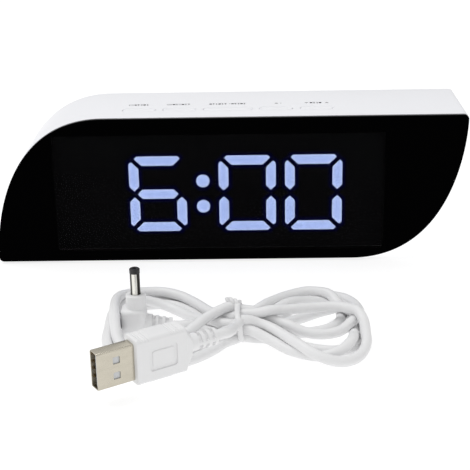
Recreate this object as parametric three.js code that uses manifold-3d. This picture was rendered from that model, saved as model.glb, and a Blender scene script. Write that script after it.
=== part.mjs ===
// LED mirror alarm clock with a leaf-shaped body, and its USB power lead.
// Millimetres, +Z up, the display faces -Y. The origin is under the middle of the clock,
// on the surface that its feet stand on.
import * as THREE from 'three';
import { mergeVertices } from 'three/addons/utils/BufferGeometryUtils.js';
import Module from 'manifold-3d';

const wasm = await Module();
wasm.setup();

// ---------------------------------------------------------------- driving dimensions (mm)
// Body: a leaf outline (two sharp corners, two big arcs) pushed straight back.
const clockLength = 178;
const bodyHeight = 56.2;
const clockDepth = 40;
const footStand = 0.6;
const cornerRadius = 1.8;
const arcRun = 42.3;
const arcSideHandle = 10;
const arcTopHandle = 38;
const wallThickness = 2;

// Clearances: faces that seat on each other, pieces that fit inside one another, moving fits.
const seatGap = 0.1;
const fitGap = 0.25;
const slideGap = 0.2;
const cordGap = 0.3;

// Front lens, bezel and display module.
const lensThickness = 2;
const lensInset = 0.3;
const bezelThickness = 1.8;
const windowSideMargin = 26.6;
const windowEdgeMargin = 4.9;
const windowShift = -3.6;
const windowDrop = 1.1;
const windowCornerCut = 4;
const filterThickness = 0.4;
const diffuserThickness = 0.6;
const reflectorDepth = 7.6;
const moduleGap = 0.15;
const moduleSideMargin = 1.7;
const digitWidth = 22;
const digitHeight = 29.9;
const segmentStroke = 3.9;
const segmentHalfGap = 1.24;
const segmentChamfer = 0.95;
const digitPitch = 25;
const colonShift = -9.7;
const colonPitch = 33.5;
const colonDotDiameter = 5;
const colonDotPitch = 10.1;
const displayDrop = 2.1;
const cavityGap = 0.3;
const diffuserPadDepth = 4;

// Circuit boards and what is soldered to them.
const boardThickness = 1.6;
const boardSideMargin = 9;
const boardLowMargin = 7.4;
const boardHighMargin = 11;
const boardChamferRun = 22;
const boardChamferShare = 0.52;
const boardScrewInset = 6;
const boardScrewHeights = [4, 17];
const boardBossDiameter = 5;
const ledSide = 2;
const ledHeight = 0.8;
const buzzerDiameter = 12;
const buzzerHeight = 9.5;
const buzzerInset = [37, 3.7];
const driverChip = { at: [18, 28], size: [18, 7.6, 2.4] };
const clockChip = { at: [-34, 28], size: [10, 6, 1.8] };

// Buttons: five caps in a row on top, each over a tact switch.
const buttonWidths = [12.3, 12.3, 18.3, 12.3, 12.3];
const buttonGap = 3;
const buttonDepth = 4.4;
const buttonRowSetback = 13;
const buttonTravel = 0.5;
const pillRound = 0.99;
const buttonFlange = 0.8;
const flangeLip = 0.8;
const stemDiameter = 3;
const switchSide = 6;
const switchHeight = 3.5;
const switchSpace = 6;
const plungerDiameter = 3.4;
const plungerSunk = 1;
const plungerStand = 0.95;
const buttonBoardWidth = 12;
const buttonBoardOverhang = 4;
const hangerThickness = 2;

// Rear cover, battery compartment and door.
const coverThickness = 2.4;
const coverInset = 0.3;
const cellDiameter = 10.5;
const cellLength = 44.5;
const cellGap = 0.5;
const cellNubDiameter = 3.8;
const cellNubLength = 0.8;
const cellEdge = [0.8, 0.6];
const contactSide = 9;
const contactThickness = 0.4;
const springLength = 5.5;
const springWire = 0.7;
const springTurns = 3.5;
const springRadii = [3.4, 2.4];
const trayWall = 1.2;
const trayShift = -6;
const doorThickness = 1.2;
const doorLedge = 1.6;
const doorCorner = 0.4;
const thumbNotch = [14, 3.2, 0.5];
const coverScrewInset = [9, 51];
const bossSink = 0.6;
const coverBossDiameter = 6.4;
const coverBossLength = 12;
const screwHeadDiameter = 4.6;
const screwHeadHeight = 1.5;
const screwShankDiameter = 2.2;
const coverScrewLength = 8;
const boardScrewLength = 5;
const crossRecess = [2.6, 0.6, 0.8];
const soundHoleDiameter = 1.6;
const soundHolePitch = 3;

// Power jack, for a 3.5 mm barrel plug with a 1.35 mm bore.
const barrelDiameter = 3.5;
const barrelBore = 1.35;
const jackInset = [25, 17.4];
const jackSize = [9, 12, 7];
const jackCollarDiameter = 6.4;
const jackBoreDepth = 10;
const jackPinSunk = 1.5;

// Feet.
const footDiameter = 9;
const footSunk = 0.8;
const footInset = [13, 53];
const footSetback = 7.5;

// Power lead, lying on the surface in front of the clock.
const cordDiameter = 3.5;
const hankCentre = [5.2, -86];
const hankLeftReach = 46.6;
const hankRightReach = 43;
const hankHalfDepth = 31;
const hankHalfWaist = 7;
const hankHeight = 9.6;
const hankShares = { start: 0.22, rise: 0.36, wide: 0.6, turn: 0.86, flank: 0.55 };
const plugHoleDepth = 22;
const plugHoleCorner = 6;
const plugHoleMargins = [0.4, 6];
const leadTrench = [-8, 6];
const leadTrenchEdge = -95;
const tieWidth = 1.6;
const tieThickness = 0.6;
const tieSlack = 0.5;
const tieTail = { diameter: 1.5, reach: [-6, 0.6], setback: 2, rise: 0.5 };
const dcPlugAt = [-29.8, -84];
const dcPlugWidth = 8.4;
const dcPlugHeight = 10.2;
const dcPlugCorner = 2.5;
const dcElbowShift = -0.85;
const dcNeckDiameter = 6.7;
const dcNeckHeight = 4.8;
const dcBarrelLength = 9;
const dcTipLength = 1.6;
const dcArmLength = 7.6;
const dcArmStartRadius = 3.9;
const dcArmEndRadius = 2.8;
const dcArmLift = 0.3;
const dcTubeWall = 0.4;
const dcTubeSunk = 3.8;
const reliefGrooves = 3;
const reliefGroovePitch = 2.3;
const reliefGrooveInset = 1.6;
const reliefGrooveRadius = 0.5;
const reliefGrooveStand = [0.5, 0.2];
const usbPlugTip = [-38, -131];
const usbPlugLift = 3.6;
const usbPlugYaw = 33;
const usbShell = [12, 4.5, 12];
const usbShellWall = 0.3;
const usbWindowSide = 2.2;
const usbWindowPitch = 5;
const usbWindowShift = -0.4;
const usbFloorThickness = 1;
const usbTongueSunk = 0.8;
const usbTongueThickness = 1.9;
const usbGrip = [17, 8, 15];
const usbGripCorner = 1.2;
const usbShoulder = 3;
const usbShoulderRadius = 4.8;
const usbShoulderShape = [0.8, 1.35];
const usbReliefLength = 9.2;
const usbReliefDiameter = 5.6;
const gripRecess = [8.5, 7.5, 0.5];

// ---------------------------------------------------------------- levels worked out from them
const frontY = -clockDepth / 2;
const rearY = clockDepth / 2;
const bottomZ = footStand;
const topZ = footStand + bodyHeight;
const middleZ = footStand + bodyHeight / 2;
const housingFront = frontY + lensThickness + seatGap;
const bezelBack = housingFront + bezelThickness;
const filterBack = housingFront + seatGap + filterThickness;
const diffuserFront = filterBack + seatGap;
const diffuserBack = diffuserFront + diffuserThickness;
const reflectorFront = diffuserBack + seatGap;
const reflectorBack = reflectorFront + reflectorDepth;
const boardFront = reflectorBack + seatGap;
const boardBack = boardFront + boardThickness;
const topInner = topZ - wallThickness;
const windowLength = clockLength - 2 * windowSideMargin;
const windowHeight = bodyHeight - 2 * windowEdgeMargin;
const windowRise = middleZ - windowDrop;
const displayRise = middleZ - displayDrop;
const mainBoardLength = clockLength - 2 * boardSideMargin;
const mainBoardBottom = bottomZ + boardLowMargin;
const mainBoardHeight = bodyHeight - boardLowMargin - boardHighMargin;
const boardScrewReach = mainBoardLength / 2 - boardScrewInset;
const buzzerAt = [clockLength / 2 - buzzerInset[0], middleZ + buzzerInset[1]];
const jackAt = [clockLength / 2 - jackInset[0], bottomZ + jackInset[1]];
const buttonRowY = frontY + buttonRowSetback;
const buttonBoardTop = topInner - switchSpace;
const switchTop = buttonBoardTop + switchHeight;
const flangeTop = topInner - seatGap;
const flangeBottom = flangeTop - buttonFlange;
const plungerTop = switchTop + plungerStand;
const coverBack = rearY - coverInset;
const coverFront = coverBack - coverThickness;
const ledgeY = coverBack - doorThickness;
const cellRow = 3;
const cellPitch = cellDiameter + cellGap;
const trayLength = cellLength + springLength + 2 * contactThickness + 4 * seatGap;
const trayHeight = (cellRow - 1) * cellPitch + cellDiameter + 4 * fitGap;
const cellY = ledgeY - fitGap - cellDiameter / 2;
const trayFloor = cellY - cellDiameter / 2 - fitGap;
const hangerBottom = buttonBoardTop - boardThickness - hangerThickness / 2;
const moduleHeight = 2 * (hangerBottom - moduleGap - displayRise);
const digitCentres = [-1, 0].map((step) => colonShift - colonPitch / 2 + step * digitPitch)
  .concat([0, 1].map((step) => colonShift + colonPitch / 2 + step * digitPitch));

// ---------------------------------------------------------------- shape helpers
const flat = (x, y) => new THREE.Vector2(x, y);
const mirrored = (point) => flat(-point.x, 2 * middleZ - point.y);

/** The leaf outline in X and Z, every edge moved inwards by inset. */
function leafOutline(inset) {
  const left = -clockLength / 2;
  const arc = new THREE.CubicBezierCurve(
    flat(left, bottomZ + cornerRadius),
    flat(left, bottomZ + cornerRadius + arcSideHandle),
    flat(left + arcRun - arcTopHandle, topZ),
    flat(left + arcRun, topZ),
  );
  const half = [];
  const tipRadius = cornerRadius - inset;
  const tipSteps = 4;
  if (tipRadius > 0.2) {
    for (let i = 0; i < tipSteps; i += 1) {
      const angle = Math.PI * (1.5 - 0.5 * (i / tipSteps));
      half.push(flat(
        left + cornerRadius + tipRadius * Math.cos(angle),
        bottomZ + cornerRadius + tipRadius * Math.sin(angle),
      ));
    }
  } else {
    half.push(flat(left + inset, bottomZ + inset));
  }
  const arcSteps = 14;
  for (let i = 0; i <= arcSteps; i += 1) {
    const point = arc.getPoint(i / arcSteps);
    const along = arc.getTangent(i / arcSteps);
    const moved = flat(point.x + along.y * inset, point.y - along.x * inset);
    if (moved.y > half[0].y + 0.3) half.push(moved);
  }
  return half.concat(half.map(mirrored));
}

/** A rectangle with round corners, in any plane. */
function roundedRectangle(centre, width, height, radius, steps = 4) {
  const points = [];
  const corners = [[1, 1], [-1, 1], [-1, -1], [1, -1]];
  corners.forEach(([sideX, sideY], quarter) => {
    for (let i = 0; i <= steps; i += 1) {
      const angle = (Math.PI / 2) * (quarter + i / steps);
      points.push(flat(
        centre[0] + sideX * (width / 2 - radius) + radius * Math.cos(angle),
        centre[1] + sideY * (height / 2 - radius) + radius * Math.sin(angle),
      ));
    }
  });
  return points;
}

function circle(centre, diameter, sides = 16) {
  const points = [];
  for (let i = 0; i < sides; i += 1) {
    const angle = (2 * Math.PI * i) / sides;
    const [across, up] = [Math.cos(angle), Math.sin(angle)].map((share) => (diameter / 2) * share);
    points.push(flat(centre[0] + across, centre[1] + up));
  }
  return points;
}

/** An outline made solid along Z; its points are put in anticlockwise order first. */
function extrude(outline, depth, holes = []) {
  const clockwise = THREE.ShapeUtils.isClockWise(outline);
  const shape = new THREE.Shape(clockwise ? outline.toReversed() : outline);
  holes.forEach((hole) => shape.holes.push(new THREE.Path(hole)));
  return new THREE.ExtrudeGeometry(shape, { depth, bevelEnabled: false });
}

/** An outline in X and Z, made solid from yFront to yBack. */
function slab(outline, yFront, yBack, holes) {
  return extrude(outline, yBack - yFront, holes).rotateX(Math.PI / 2).translate(0, yBack, 0);
}

/** An outline in X and Y, made solid from zLow to zHigh. */
function column(outline, zLow, zHigh, holes) {
  return extrude(outline, zHigh - zLow, holes).translate(0, 0, zLow);
}

function block([x0, x1], [y0, y1], [z0, z1]) {
  return new THREE.BoxGeometry(x1 - x0, y1 - y0, z1 - z0)
    .translate((x0 + x1) / 2, (y0 + y1) / 2, (z0 + z1) / 2);
}

const around = (middle, size) => [middle - size / 2, middle + size / 2];

/** A round rod along X from x0 to x1, or the same along Y or Z. */
function rodX(diameter, [x0, x1], y, z, sides = 16) {
  return new THREE.CylinderGeometry(diameter / 2, diameter / 2, x1 - x0, sides)
    .rotateZ(Math.PI / 2).translate((x0 + x1) / 2, y, z);
}

function rodY(diameter, x, [y0, y1], z, sides = 16) {
  return new THREE.CylinderGeometry(diameter / 2, diameter / 2, y1 - y0, sides)
    .translate(x, (y0 + y1) / 2, z);
}

function rodZ(diameter, x, y, [z0, z1], sides = 16) {
  return new THREE.CylinderGeometry(diameter / 2, diameter / 2, z1 - z0, sides)
    .rotateX(Math.PI / 2).translate(x, y, (z0 + z1) / 2);
}

/** A round section swept along a curve. */
function sweep(curve, diameter, sides, steps) {
  const section = new THREE.Shape(circle([0, 0], diameter, sides));
  return new THREE.ExtrudeGeometry(section, { steps, extrudePath: curve, bevelEnabled: false });
}

function toSolid(geometry) {
  const bare = geometry.clone();
  bare.deleteAttribute('normal');
  bare.deleteAttribute('uv');
  const welded = mergeVertices(bare, 1e-4);
  return new wasm.Manifold(new wasm.Mesh({
    numProp: 3,
    vertProperties: new Float32Array(welded.attributes.position.array),
    triVerts: new Uint32Array(welded.index.array),
  }));
}

function toGeometry(solid) {
  const mesh = solid.getMesh();
  const geometry = new THREE.BufferGeometry();
  geometry.setAttribute('position', new THREE.BufferAttribute(mesh.vertProperties, mesh.numProp));
  geometry.setIndex(new THREE.BufferAttribute(mesh.triVerts, 1));
  geometry.computeVertexNormals();
  return geometry;
}

const join = (...pieces) => toGeometry(pieces.map(toSolid).reduce((sum, piece) => sum.add(piece)));
const cut = (base, ...tools) => toGeometry(
  tools.map(toSolid).reduce((rest, tool) => rest.subtract(tool), toSolid(base)),
);

// ---------------------------------------------------------------- finishes
const finish = (color, roughness, metalness = 0) => (
  new THREE.MeshStandardMaterial({ color, roughness, metalness }));
const whiteShell = finish(0xedeff3, 0.35);
const blackLens = finish(0x050506, 0.06);
const smokedFilm = finish(0x101012, 0.2);
const milkyPlastic = finish(0xb4c3fa, 0.5);
const whitePlastic = finish(0xe8e8e6, 0.5);
const boardGreen = finish(0x1d5b3a, 0.55);
const chipBlack = finish(0x17181a, 0.5);
const steel = finish(0xb9bcc0, 0.3, 1);
const nickel = finish(0xc7c3b5, 0.3, 1);
const cellWrap = finish(0x3a5f8c, 0.4);
const blackRubber = finish(0x1b1b1c, 0.85);
const whiteVinyl = finish(0xe4e4e4, 0.5);
const blackPlastic = finish(0x161616, 0.45);

const clock = new THREE.Group();
function add(name, geometry, material, parent = clock) {
  const mesh = new THREE.Mesh(geometry, material.clone());
  mesh.name = name;
  parent.add(mesh);
  return mesh;
}

// ---------------------------------------------------------------- patterns shared by several pieces
/** The centre of each button along X, left to right. */
const buttonRowLength = buttonWidths.reduce((sum, width) => sum + width, 0)
  + buttonGap * (buttonWidths.length - 1);
const buttonCentres = buttonWidths.map((width, index) => {
  const before = buttonWidths.slice(0, index).reduce((sum, earlier) => sum + earlier + buttonGap, 0);
  return -buttonRowLength / 2 + before + width / 2;
});

const cellRises = [-1, 0, 1].map((step) => middleZ + step * cellPitch);
const footPlaces = [footInset[0] - clockLength / 2, clockLength / 2 - footInset[1]]
  .flatMap((x) => [[x, frontY + footSetback], [x, rearY - footSetback]]);
const coverBossRise = bottomZ + wallThickness + coverBossDiameter / 2 - bossSink;
const coverScrewPlaces = [
  [coverScrewInset[0] - clockLength / 2, coverBossRise],
  [clockLength / 2 - coverScrewInset[1], coverBossRise],
].flatMap(([x, z]) => [[x, z], [-x, 2 * middleZ - z]]);
const boardScrewPlaces = boardScrewHeights.flatMap((rise) => [
  [-boardScrewReach, mainBoardBottom + rise],
  [boardScrewReach, mainBoardBottom + mainBoardHeight - rise],
]);

/** The seven segments of one digit, grown outwards by grow, as outlines in X and Z. */
function segmentOutlines(centreX, grow) {
  const w = digitWidth / 2;
  const h = digitHeight / 2;
  const s = segmentStroke;
  const g = segmentHalfGap;
  const c = segmentChamfer;
  const top = [
    [-w + g + c, h - c], [-w + g + 2 * c, h], [w - g - 2 * c, h],
    [w - g - c, h - c], [w - g - s, h - s], [-w + g + s, h - s],
  ];
  const upperLeft = [
    [-w, h - g - 2 * c], [-w + c, h - g - c], [-w + s, h - g - s],
    [-w + s, g + s / 2], [-w + s / 2, g], [-w, g + s / 2],
  ];
  const middle = [
    [-w + s / 2 + g, 0], [-w + s + g, s / 2], [w - s - g, s / 2],
    [w - s / 2 - g, 0], [w - s - g, -s / 2], [-w + s + g, -s / 2],
  ];
  const flipX = (points) => points.map(([x, z]) => [-x, z]);
  const flipZ = (points) => points.map(([x, z]) => [x, -z]);
  const all = [
    top, upperLeft, flipX(upperLeft), middle,
    flipZ(upperLeft), flipX(flipZ(upperLeft)), flipZ(top),
  ];
  return all.map((points) => {
    const midX = points.reduce((sum, [x]) => sum + x, 0) / points.length;
    const midZ = points.reduce((sum, [, z]) => sum + z, 0) / points.length;
    const spanX = Math.max(...points.map(([x]) => Math.abs(x - midX)));
    const spanZ = Math.max(...points.map(([, z]) => Math.abs(z - midZ)));
    return points.map(([x, z]) => flat(
      centreX + midX + (x - midX) * (1 + grow / spanX),
      displayRise + midZ + (z - midZ) * (1 + grow / spanZ),
    ));
  });
}

/** Every lit area of the display: four digits and the colon's two dots. */
function litOutlines(grow) {
  const digits = digitCentres.flatMap((x) => segmentOutlines(x, grow));
  const dots = [-1, 1].map((side) => circle(
    [colonShift, displayRise + (side * colonDotPitch) / 2],
    colonDotDiameter + 2 * grow,
    20,
  ));
  return digits.concat(dots);
}

const centreOf = (points) => [
  points.reduce((sum, point) => sum + point.x, 0) / points.length,
  points.reduce((sum, point) => sum + point.y, 0) / points.length,
];

// ---------------------------------------------------------------- front and housing
function frontLens() {
  return slab(leafOutline(lensInset), frontY, frontY + lensThickness);
}

/** The window's outline, moved inwards by shrink: the two corners beside the arcs are cut off. */
function windowOutline(shrink) {
  const [left, right] = around(windowShift, windowLength - 2 * shrink);
  const [low, high] = around(windowRise, windowHeight - 2 * shrink);
  return [
    flat(left, low),
    flat(right - windowCornerCut, low),
    flat(right, low + windowCornerCut),
    flat(right, high),
    flat(left + windowCornerCut, high),
    flat(left, high - windowCornerCut),
  ];
}

function buttonBoardHalf() {
  return buttonRowLength / 2 + buttonBoardOverhang;
}

function mainHousing() {
  const shell = slab(leafOutline(0), housingFront, rearY, [leafOutline(wallThickness)]);
  const bezel = slab(leafOutline(wallThickness / 2), housingFront, bezelBack, [windowOutline(0)]);
  const coverBosses = coverScrewPlaces.map(([x, z]) => (
    rodY(coverBossDiameter, x, [coverFront - seatGap - coverBossLength, coverFront - seatGap], z)));
  const boardBosses = boardScrewPlaces.map(([x, z]) => (
    rodY(boardBossDiameter, x, [bezelBack - seatGap, boardFront - seatGap], z, 16)));
  const hangers = [-1, 1].map((side) => block(
    around(side * buttonBoardHalf(), 2 * hangerThickness),
    around(buttonRowY, buttonBoardWidth),
    [hangerBottom, topInner + seatGap],
  ));
  const solid = join(shell, bezel, ...coverBosses, ...boardBosses, ...hangers);
  const boardSlot = block(
    around(0, 2 * (buttonBoardHalf() + slideGap)),
    around(buttonRowY, 2 * buttonBoardWidth),
    [buttonBoardTop - boardThickness - slideGap, buttonBoardTop + slideGap],
  );
  const slotDepth = buttonDepth + 2 * slideGap;
  const capSlots = buttonCentres.map((x, index) => column(
    roundedRectangle([x, buttonRowY], buttonWidths[index] + 2 * slideGap, slotDepth, buttonDepth / 2, 5),
    topInner - 1,
    topZ + 1,
  ));
  const coverPilots = coverScrewPlaces.map(([x, z]) => (
    rodY(screwShankDiameter + 2 * seatGap, x, [coverFront - coverScrewLength - 1, coverFront + 1], z, 12)));
  const boardPilots = boardScrewPlaces.map(([x, z]) => (
    rodY(screwShankDiameter + 2 * seatGap, x, [boardFront - boardScrewLength, boardFront + 1], z, 12)));
  const footPockets = footPlaces.map(([x, y]) => (
    rodZ(footDiameter + 2 * seatGap, x, y, [bottomZ - 1, bottomZ + footSunk + seatGap], 24)));
  return cut(solid, boardSlot, ...capSlots, ...coverPilots, ...boardPilots, ...footPockets);
}

// ---------------------------------------------------------------- display module and boards
function moduleOutline() {
  const length = windowLength - 2 * moduleSideMargin;
  return roundedRectangle([windowShift, displayRise], length, moduleHeight, 1, 2);
}

function displayReflector() {
  return slab(moduleOutline(), reflectorFront, reflectorBack, litOutlines(cavityGap));
}

function segmentDiffuser() {
  const plate = slab(moduleOutline(), diffuserFront, diffuserBack);
  const pads = litOutlines(0).map((points) => (
    slab(points, diffuserBack - seatGap, reflectorFront + diffuserPadDepth)));
  return join(plate, ...pads);
}

function mainBoard() {
  const half = mainBoardLength / 2;
  const top = mainBoardBottom + mainBoardHeight;
  const chamferRise = mainBoardHeight * boardChamferShare;
  const outline = [
    flat(-half, mainBoardBottom),
    flat(half - boardChamferRun, mainBoardBottom),
    flat(half, mainBoardBottom + chamferRise),
    flat(half, top),
    flat(-half + boardChamferRun, top),
    flat(-half, top - chamferRise),
  ];
  const holes = boardScrewPlaces.map((place) => circle(place, screwShankDiameter + 2 * fitGap, 12));
  const sheet = slab(outline, boardFront, boardBack, holes);
  const lamps = litOutlines(0).map(centreOf).map(([x, z]) => (
    block(around(x, ledSide), [boardFront - ledHeight, boardFront + seatGap], around(z, ledSide))));
  return join(sheet, ...lamps);
}

function chip({ at, size: [width, height, thickness] }) {
  const [x, rise] = at;
  return block(around(x, width), [boardBack, boardBack + thickness], around(mainBoardBottom + rise, height));
}

// ---------------------------------------------------------------- buttons
function buttonCap(index) {
  const centre = [buttonCentres[index], buttonRowY];
  const width = buttonWidths[index];
  const pill = (grow) => {
    const depth = buttonDepth + 2 * grow;
    return roundedRectangle(centre, width + 2 * grow, depth, (depth / 2) * pillRound, 5);
  };
  const cap = column(pill(0), flangeTop - seatGap, topZ);
  const lip = column(pill(flangeLip), flangeBottom, flangeTop);
  const stem = rodZ(stemDiameter, centre[0], centre[1], [plungerTop + seatGap / 2, flangeBottom + seatGap]);
  return join(cap, lip, stem);
}

function switchBody(x) {
  const body = block(around(x, switchSide), around(buttonRowY, switchSide), [buttonBoardTop, switchTop]);
  const well = rodZ(
    plungerDiameter + 2 * slideGap,
    x,
    buttonRowY,
    [switchTop - plungerSunk - buttonTravel - slideGap, switchTop + 1],
  );
  return cut(body, well);
}

function switchPlunger(x) {
  return rodZ(plungerDiameter, x, buttonRowY, [switchTop - plungerSunk, plungerTop]);
}

// ---------------------------------------------------------------- rear cover, door and cells
function coverHoles() {
  const sound = [[0, 0], [1, 0], [-1, 0], [0, 1], [0, -1]].map(([dx, dz]) => circle(
    [buzzerAt[0] + dx * soundHolePitch, buzzerAt[1] + dz * soundHolePitch],
    soundHoleDiameter,
    10,
  ));
  const screws = coverScrewPlaces.map((place) => circle(place, screwShankDiameter + 2 * fitGap, 12));
  const jack = circle(jackAt, jackCollarDiameter + 2 * fitGap, 20);
  return [...sound, ...screws, jack];
}

function rearCover() {
  const plate = slab(leafOutline(wallThickness + fitGap), coverFront, coverBack, coverHoles());
  const tray = block(
    around(trayShift, trayLength + 2 * trayWall),
    [trayFloor - trayWall, coverBack - seatGap],
    around(middleZ, trayHeight + 2 * trayWall),
  );
  const ribs = [-1, 1].map((side) => block(
    around(jackAt[0] + side * (jackSize[0] / 2 + fitGap + trayWall / 2), trayWall),
    [coverFront - jackSize[1], coverFront + seatGap],
    around(jackAt[1], jackSize[2]),
  ));
  const hollow = block(around(trayShift, trayLength), [trayFloor, rearY + 1], around(middleZ, trayHeight));
  const ledge = block(
    around(trayShift, trayLength + 2 * doorLedge),
    [ledgeY, rearY + 1],
    around(middleZ, trayHeight + 2 * doorLedge),
  );
  const headSeats = coverScrewPlaces.map(([x, z]) => (
    rodY(screwHeadDiameter + 2 * fitGap, x, [coverBack - screwHeadHeight - seatGap, rearY + 1], z)));
  return cut(join(plate, tray, ...ribs), hollow, ledge, ...headSeats);
}

function batteryDoor() {
  const outline = roundedRectangle(
    [trayShift, middleZ],
    trayLength + 2 * (doorLedge - fitGap),
    trayHeight + 2 * (doorLedge - fitGap),
    doorCorner,
    2,
  );
  const [notchLength, notchHeight, notchDepth] = thumbNotch;
  const doorEdge = trayShift + trayLength / 2;
  const notch = block(
    [doorEdge - notchHeight, doorEdge],
    [coverBack - notchDepth, rearY + 1],
    around(middleZ, notchLength),
  );
  return cut(slab(outline, ledgeY + seatGap, coverBack), notch);
}

/** Which way the raised end of each cell points along X. */
const nubSide = (index) => (index % 2 === 0 ? 1 : -1);

/** A cell lying along X, its raised end towards +X, and the middle of its length at X = 0. */
function cell() {
  const r = cellDiameter / 2;
  const low = -cellLength / 2;
  const high = cellLength / 2 - cellNubLength;
  const [edgeWidth, edgeHeight] = cellEdge;
  const profile = [
    flat(0, low), flat(r - edgeWidth, low), flat(r, low + edgeHeight), flat(r, high - edgeHeight),
    flat(r - edgeWidth, high), flat(cellNubDiameter / 2, high),
    flat(cellNubDiameter / 2, cellLength / 2), flat(0, cellLength / 2),
  ];
  return new THREE.LatheGeometry(profile, 20).rotateZ(-Math.PI / 2);
}

const cellOffset = (index) => (
  nubSide(index) * (trayLength / 2 - contactThickness - 2 * seatGap - cellLength / 2));

/** The tray wall is at X = 0, and the contact reaches from it towards +X. */
function flatContact() {
  return block([seatGap, seatGap + contactThickness], around(0, contactSide), around(0, contactSide));
}

function springContact() {
  const plateFace = seatGap + contactThickness;
  class Coil extends THREE.Curve {
    getPoint(t, target = new THREE.Vector3()) {
      const radius = THREE.MathUtils.lerp(...springRadii, t);
      const angle = 2 * Math.PI * springTurns * t;
      const reach = plateFace + springWire / 4 + t * (springLength - springWire);
      return target.set(reach, radius * Math.cos(angle), radius * Math.sin(angle));
    }
  }
  return join(flatContact(), sweep(new Coil(), springWire, 6, 36));
}

function placeContact(name, geometry, side, z) {
  const mesh = add(name, geometry, nickel);
  mesh.position.set(trayShift + (side * trayLength) / 2, cellY, z);
  mesh.rotation.z = side > 0 ? Math.PI : 0;
}

// ---------------------------------------------------------------- screws and feet
/** A screw along Y with its head's flat face at y = 0, the shank going towards -Y. */
function screw(length) {
  const head = rodY(screwHeadDiameter, 0, [-screwHeadHeight, 0], 0);
  const shank = rodY(screwShankDiameter, 0, [-screwHeadHeight - length, -screwHeadHeight + seatGap], 0, 12);
  const [span, width, depth] = crossRecess;
  const slots = [[span, width], [width, span]].map(([dx, dz]) => (
    block(around(0, dx), [-depth, 1], around(0, dz))));
  return cut(join(head, shank), ...slots);
}

// ---------------------------------------------------------------- power jack
function dcJack() {
  const [x, z] = jackAt;
  const [width, depth, height] = jackSize;
  const back = coverFront - seatGap;
  const body = block(around(x, width), [back - depth, back], around(z, height));
  const collar = rodY(jackCollarDiameter, x, [coverFront - 2 * seatGap, coverBack], z);
  const bore = rodY(barrelDiameter + 2 * slideGap, x, [coverBack - jackBoreDepth, coverBack + 1], z);
  const pinReach = [coverBack - jackBoreDepth - 1, coverBack - jackPinSunk];
  const pin = rodY(barrelBore - 2 * seatGap, x, pinReach, z, 12);
  return join(cut(join(body, collar), bore), pin);
}

// ---------------------------------------------------------------- power lead
const dcArmEnd = dcPlugAt[0] + dcPlugWidth / 2 + dcArmLength;
const dcArmRise = dcArmEndRadius + dcArmLift;
const dcNeckTop = dcPlugHeight + dcNeckHeight;

/** The rings cut round a strain relief, standing across X; place turns a distance into a place. */
function reliefGrooveRings(radius, place) {
  return Array.from({ length: reliefGrooves }, (_, step) => (
    new THREE.TorusGeometry(radius, reliefGrooveRadius, 4, 14)
      .rotateY(Math.PI / 2)
      .translate(place(reliefGrooveInset + reliefGroovePitch * step), 0, 0)));
}

function dcPlugBody() {
  const [x, y] = dcPlugAt;
  const elbow = column(
    roundedRectangle([x + dcElbowShift, y], dcPlugWidth, dcPlugWidth, dcPlugCorner),
    0,
    dcPlugHeight,
  );
  const neck = rodZ(dcNeckDiameter, x, y, [dcPlugHeight - seatGap, dcNeckTop]);
  const run = dcArmEnd - x;
  const arm = new THREE.CylinderGeometry(dcArmEndRadius, dcArmStartRadius, run, 16)
    .rotateZ(-Math.PI / 2)
    .rotateY(Math.atan2(dcArmStartRadius - dcArmEndRadius, run))
    .translate(x + run / 2, y, dcArmRise + (dcArmStartRadius - dcArmEndRadius) / 2);
  const socketReach = [dcNeckTop - dcTubeSunk - slideGap, dcNeckTop + 1];
  const socket = rodZ(barrelDiameter + 2 * slideGap, x, y, socketReach);
  const grooves = reliefGrooveRings(dcArmEndRadius + reliefGrooveStand[0], (at) => dcArmEnd - at)
    .map((ring) => ring.translate(0, y, dcArmRise + seatGap));
  const squareEnd = block([dcArmEnd - seatGap / 2, dcArmEnd + 2], around(y, 12), [-2, 12]);
  return cut(join(elbow, neck, arm), socket, squareEnd, ...grooves);
}

function dcPlugBarrel() {
  const [x, y] = dcPlugAt;
  const outside = barrelDiameter - slideGap;
  const low = dcNeckTop - dcTubeSunk;
  const high = dcNeckTop + dcBarrelLength;
  const tube = rodZ(outside, x, y, [low, high - dcTipLength]);
  const bore = rodZ(outside - 2 * dcTubeWall, x, y, [low + 1, high]);
  return cut(tube, bore);
}

function dcPlugTip() {
  const [x, y] = dcPlugAt;
  const top = dcNeckTop + dcBarrelLength;
  const low = dcNeckTop - dcTubeSunk + 1 + slideGap;
  const ring = rodZ(barrelDiameter, x, y, [top - dcTipLength + slideGap / 10, top]);
  const inside = barrelDiameter - 2 * slideGap - 2 * dcTubeWall;
  const sleeve = rodZ(inside, x, y, [low, top - dcTipLength + seatGap]);
  const bore = rodZ(barrelBore, x, y, [low + dcTubeWall, top + 1], 12);
  return cut(join(ring, sleeve), bore);
}

/** The USB plug lies on its narrow edge: X runs to the tip, Z is its width. Its tip is at X = 0. */
const usbMiddle = usbGrip[2] / 2;
const usbGripFront = -usbShell[2] - cordGap;
const usbGripBack = usbGripFront - usbGrip[0];
const usbReliefEnd = usbGripBack - usbShoulder - usbReliefLength;
const usbPlugTurn = THREE.MathUtils.degToRad(180 + usbPlugYaw);

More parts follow.
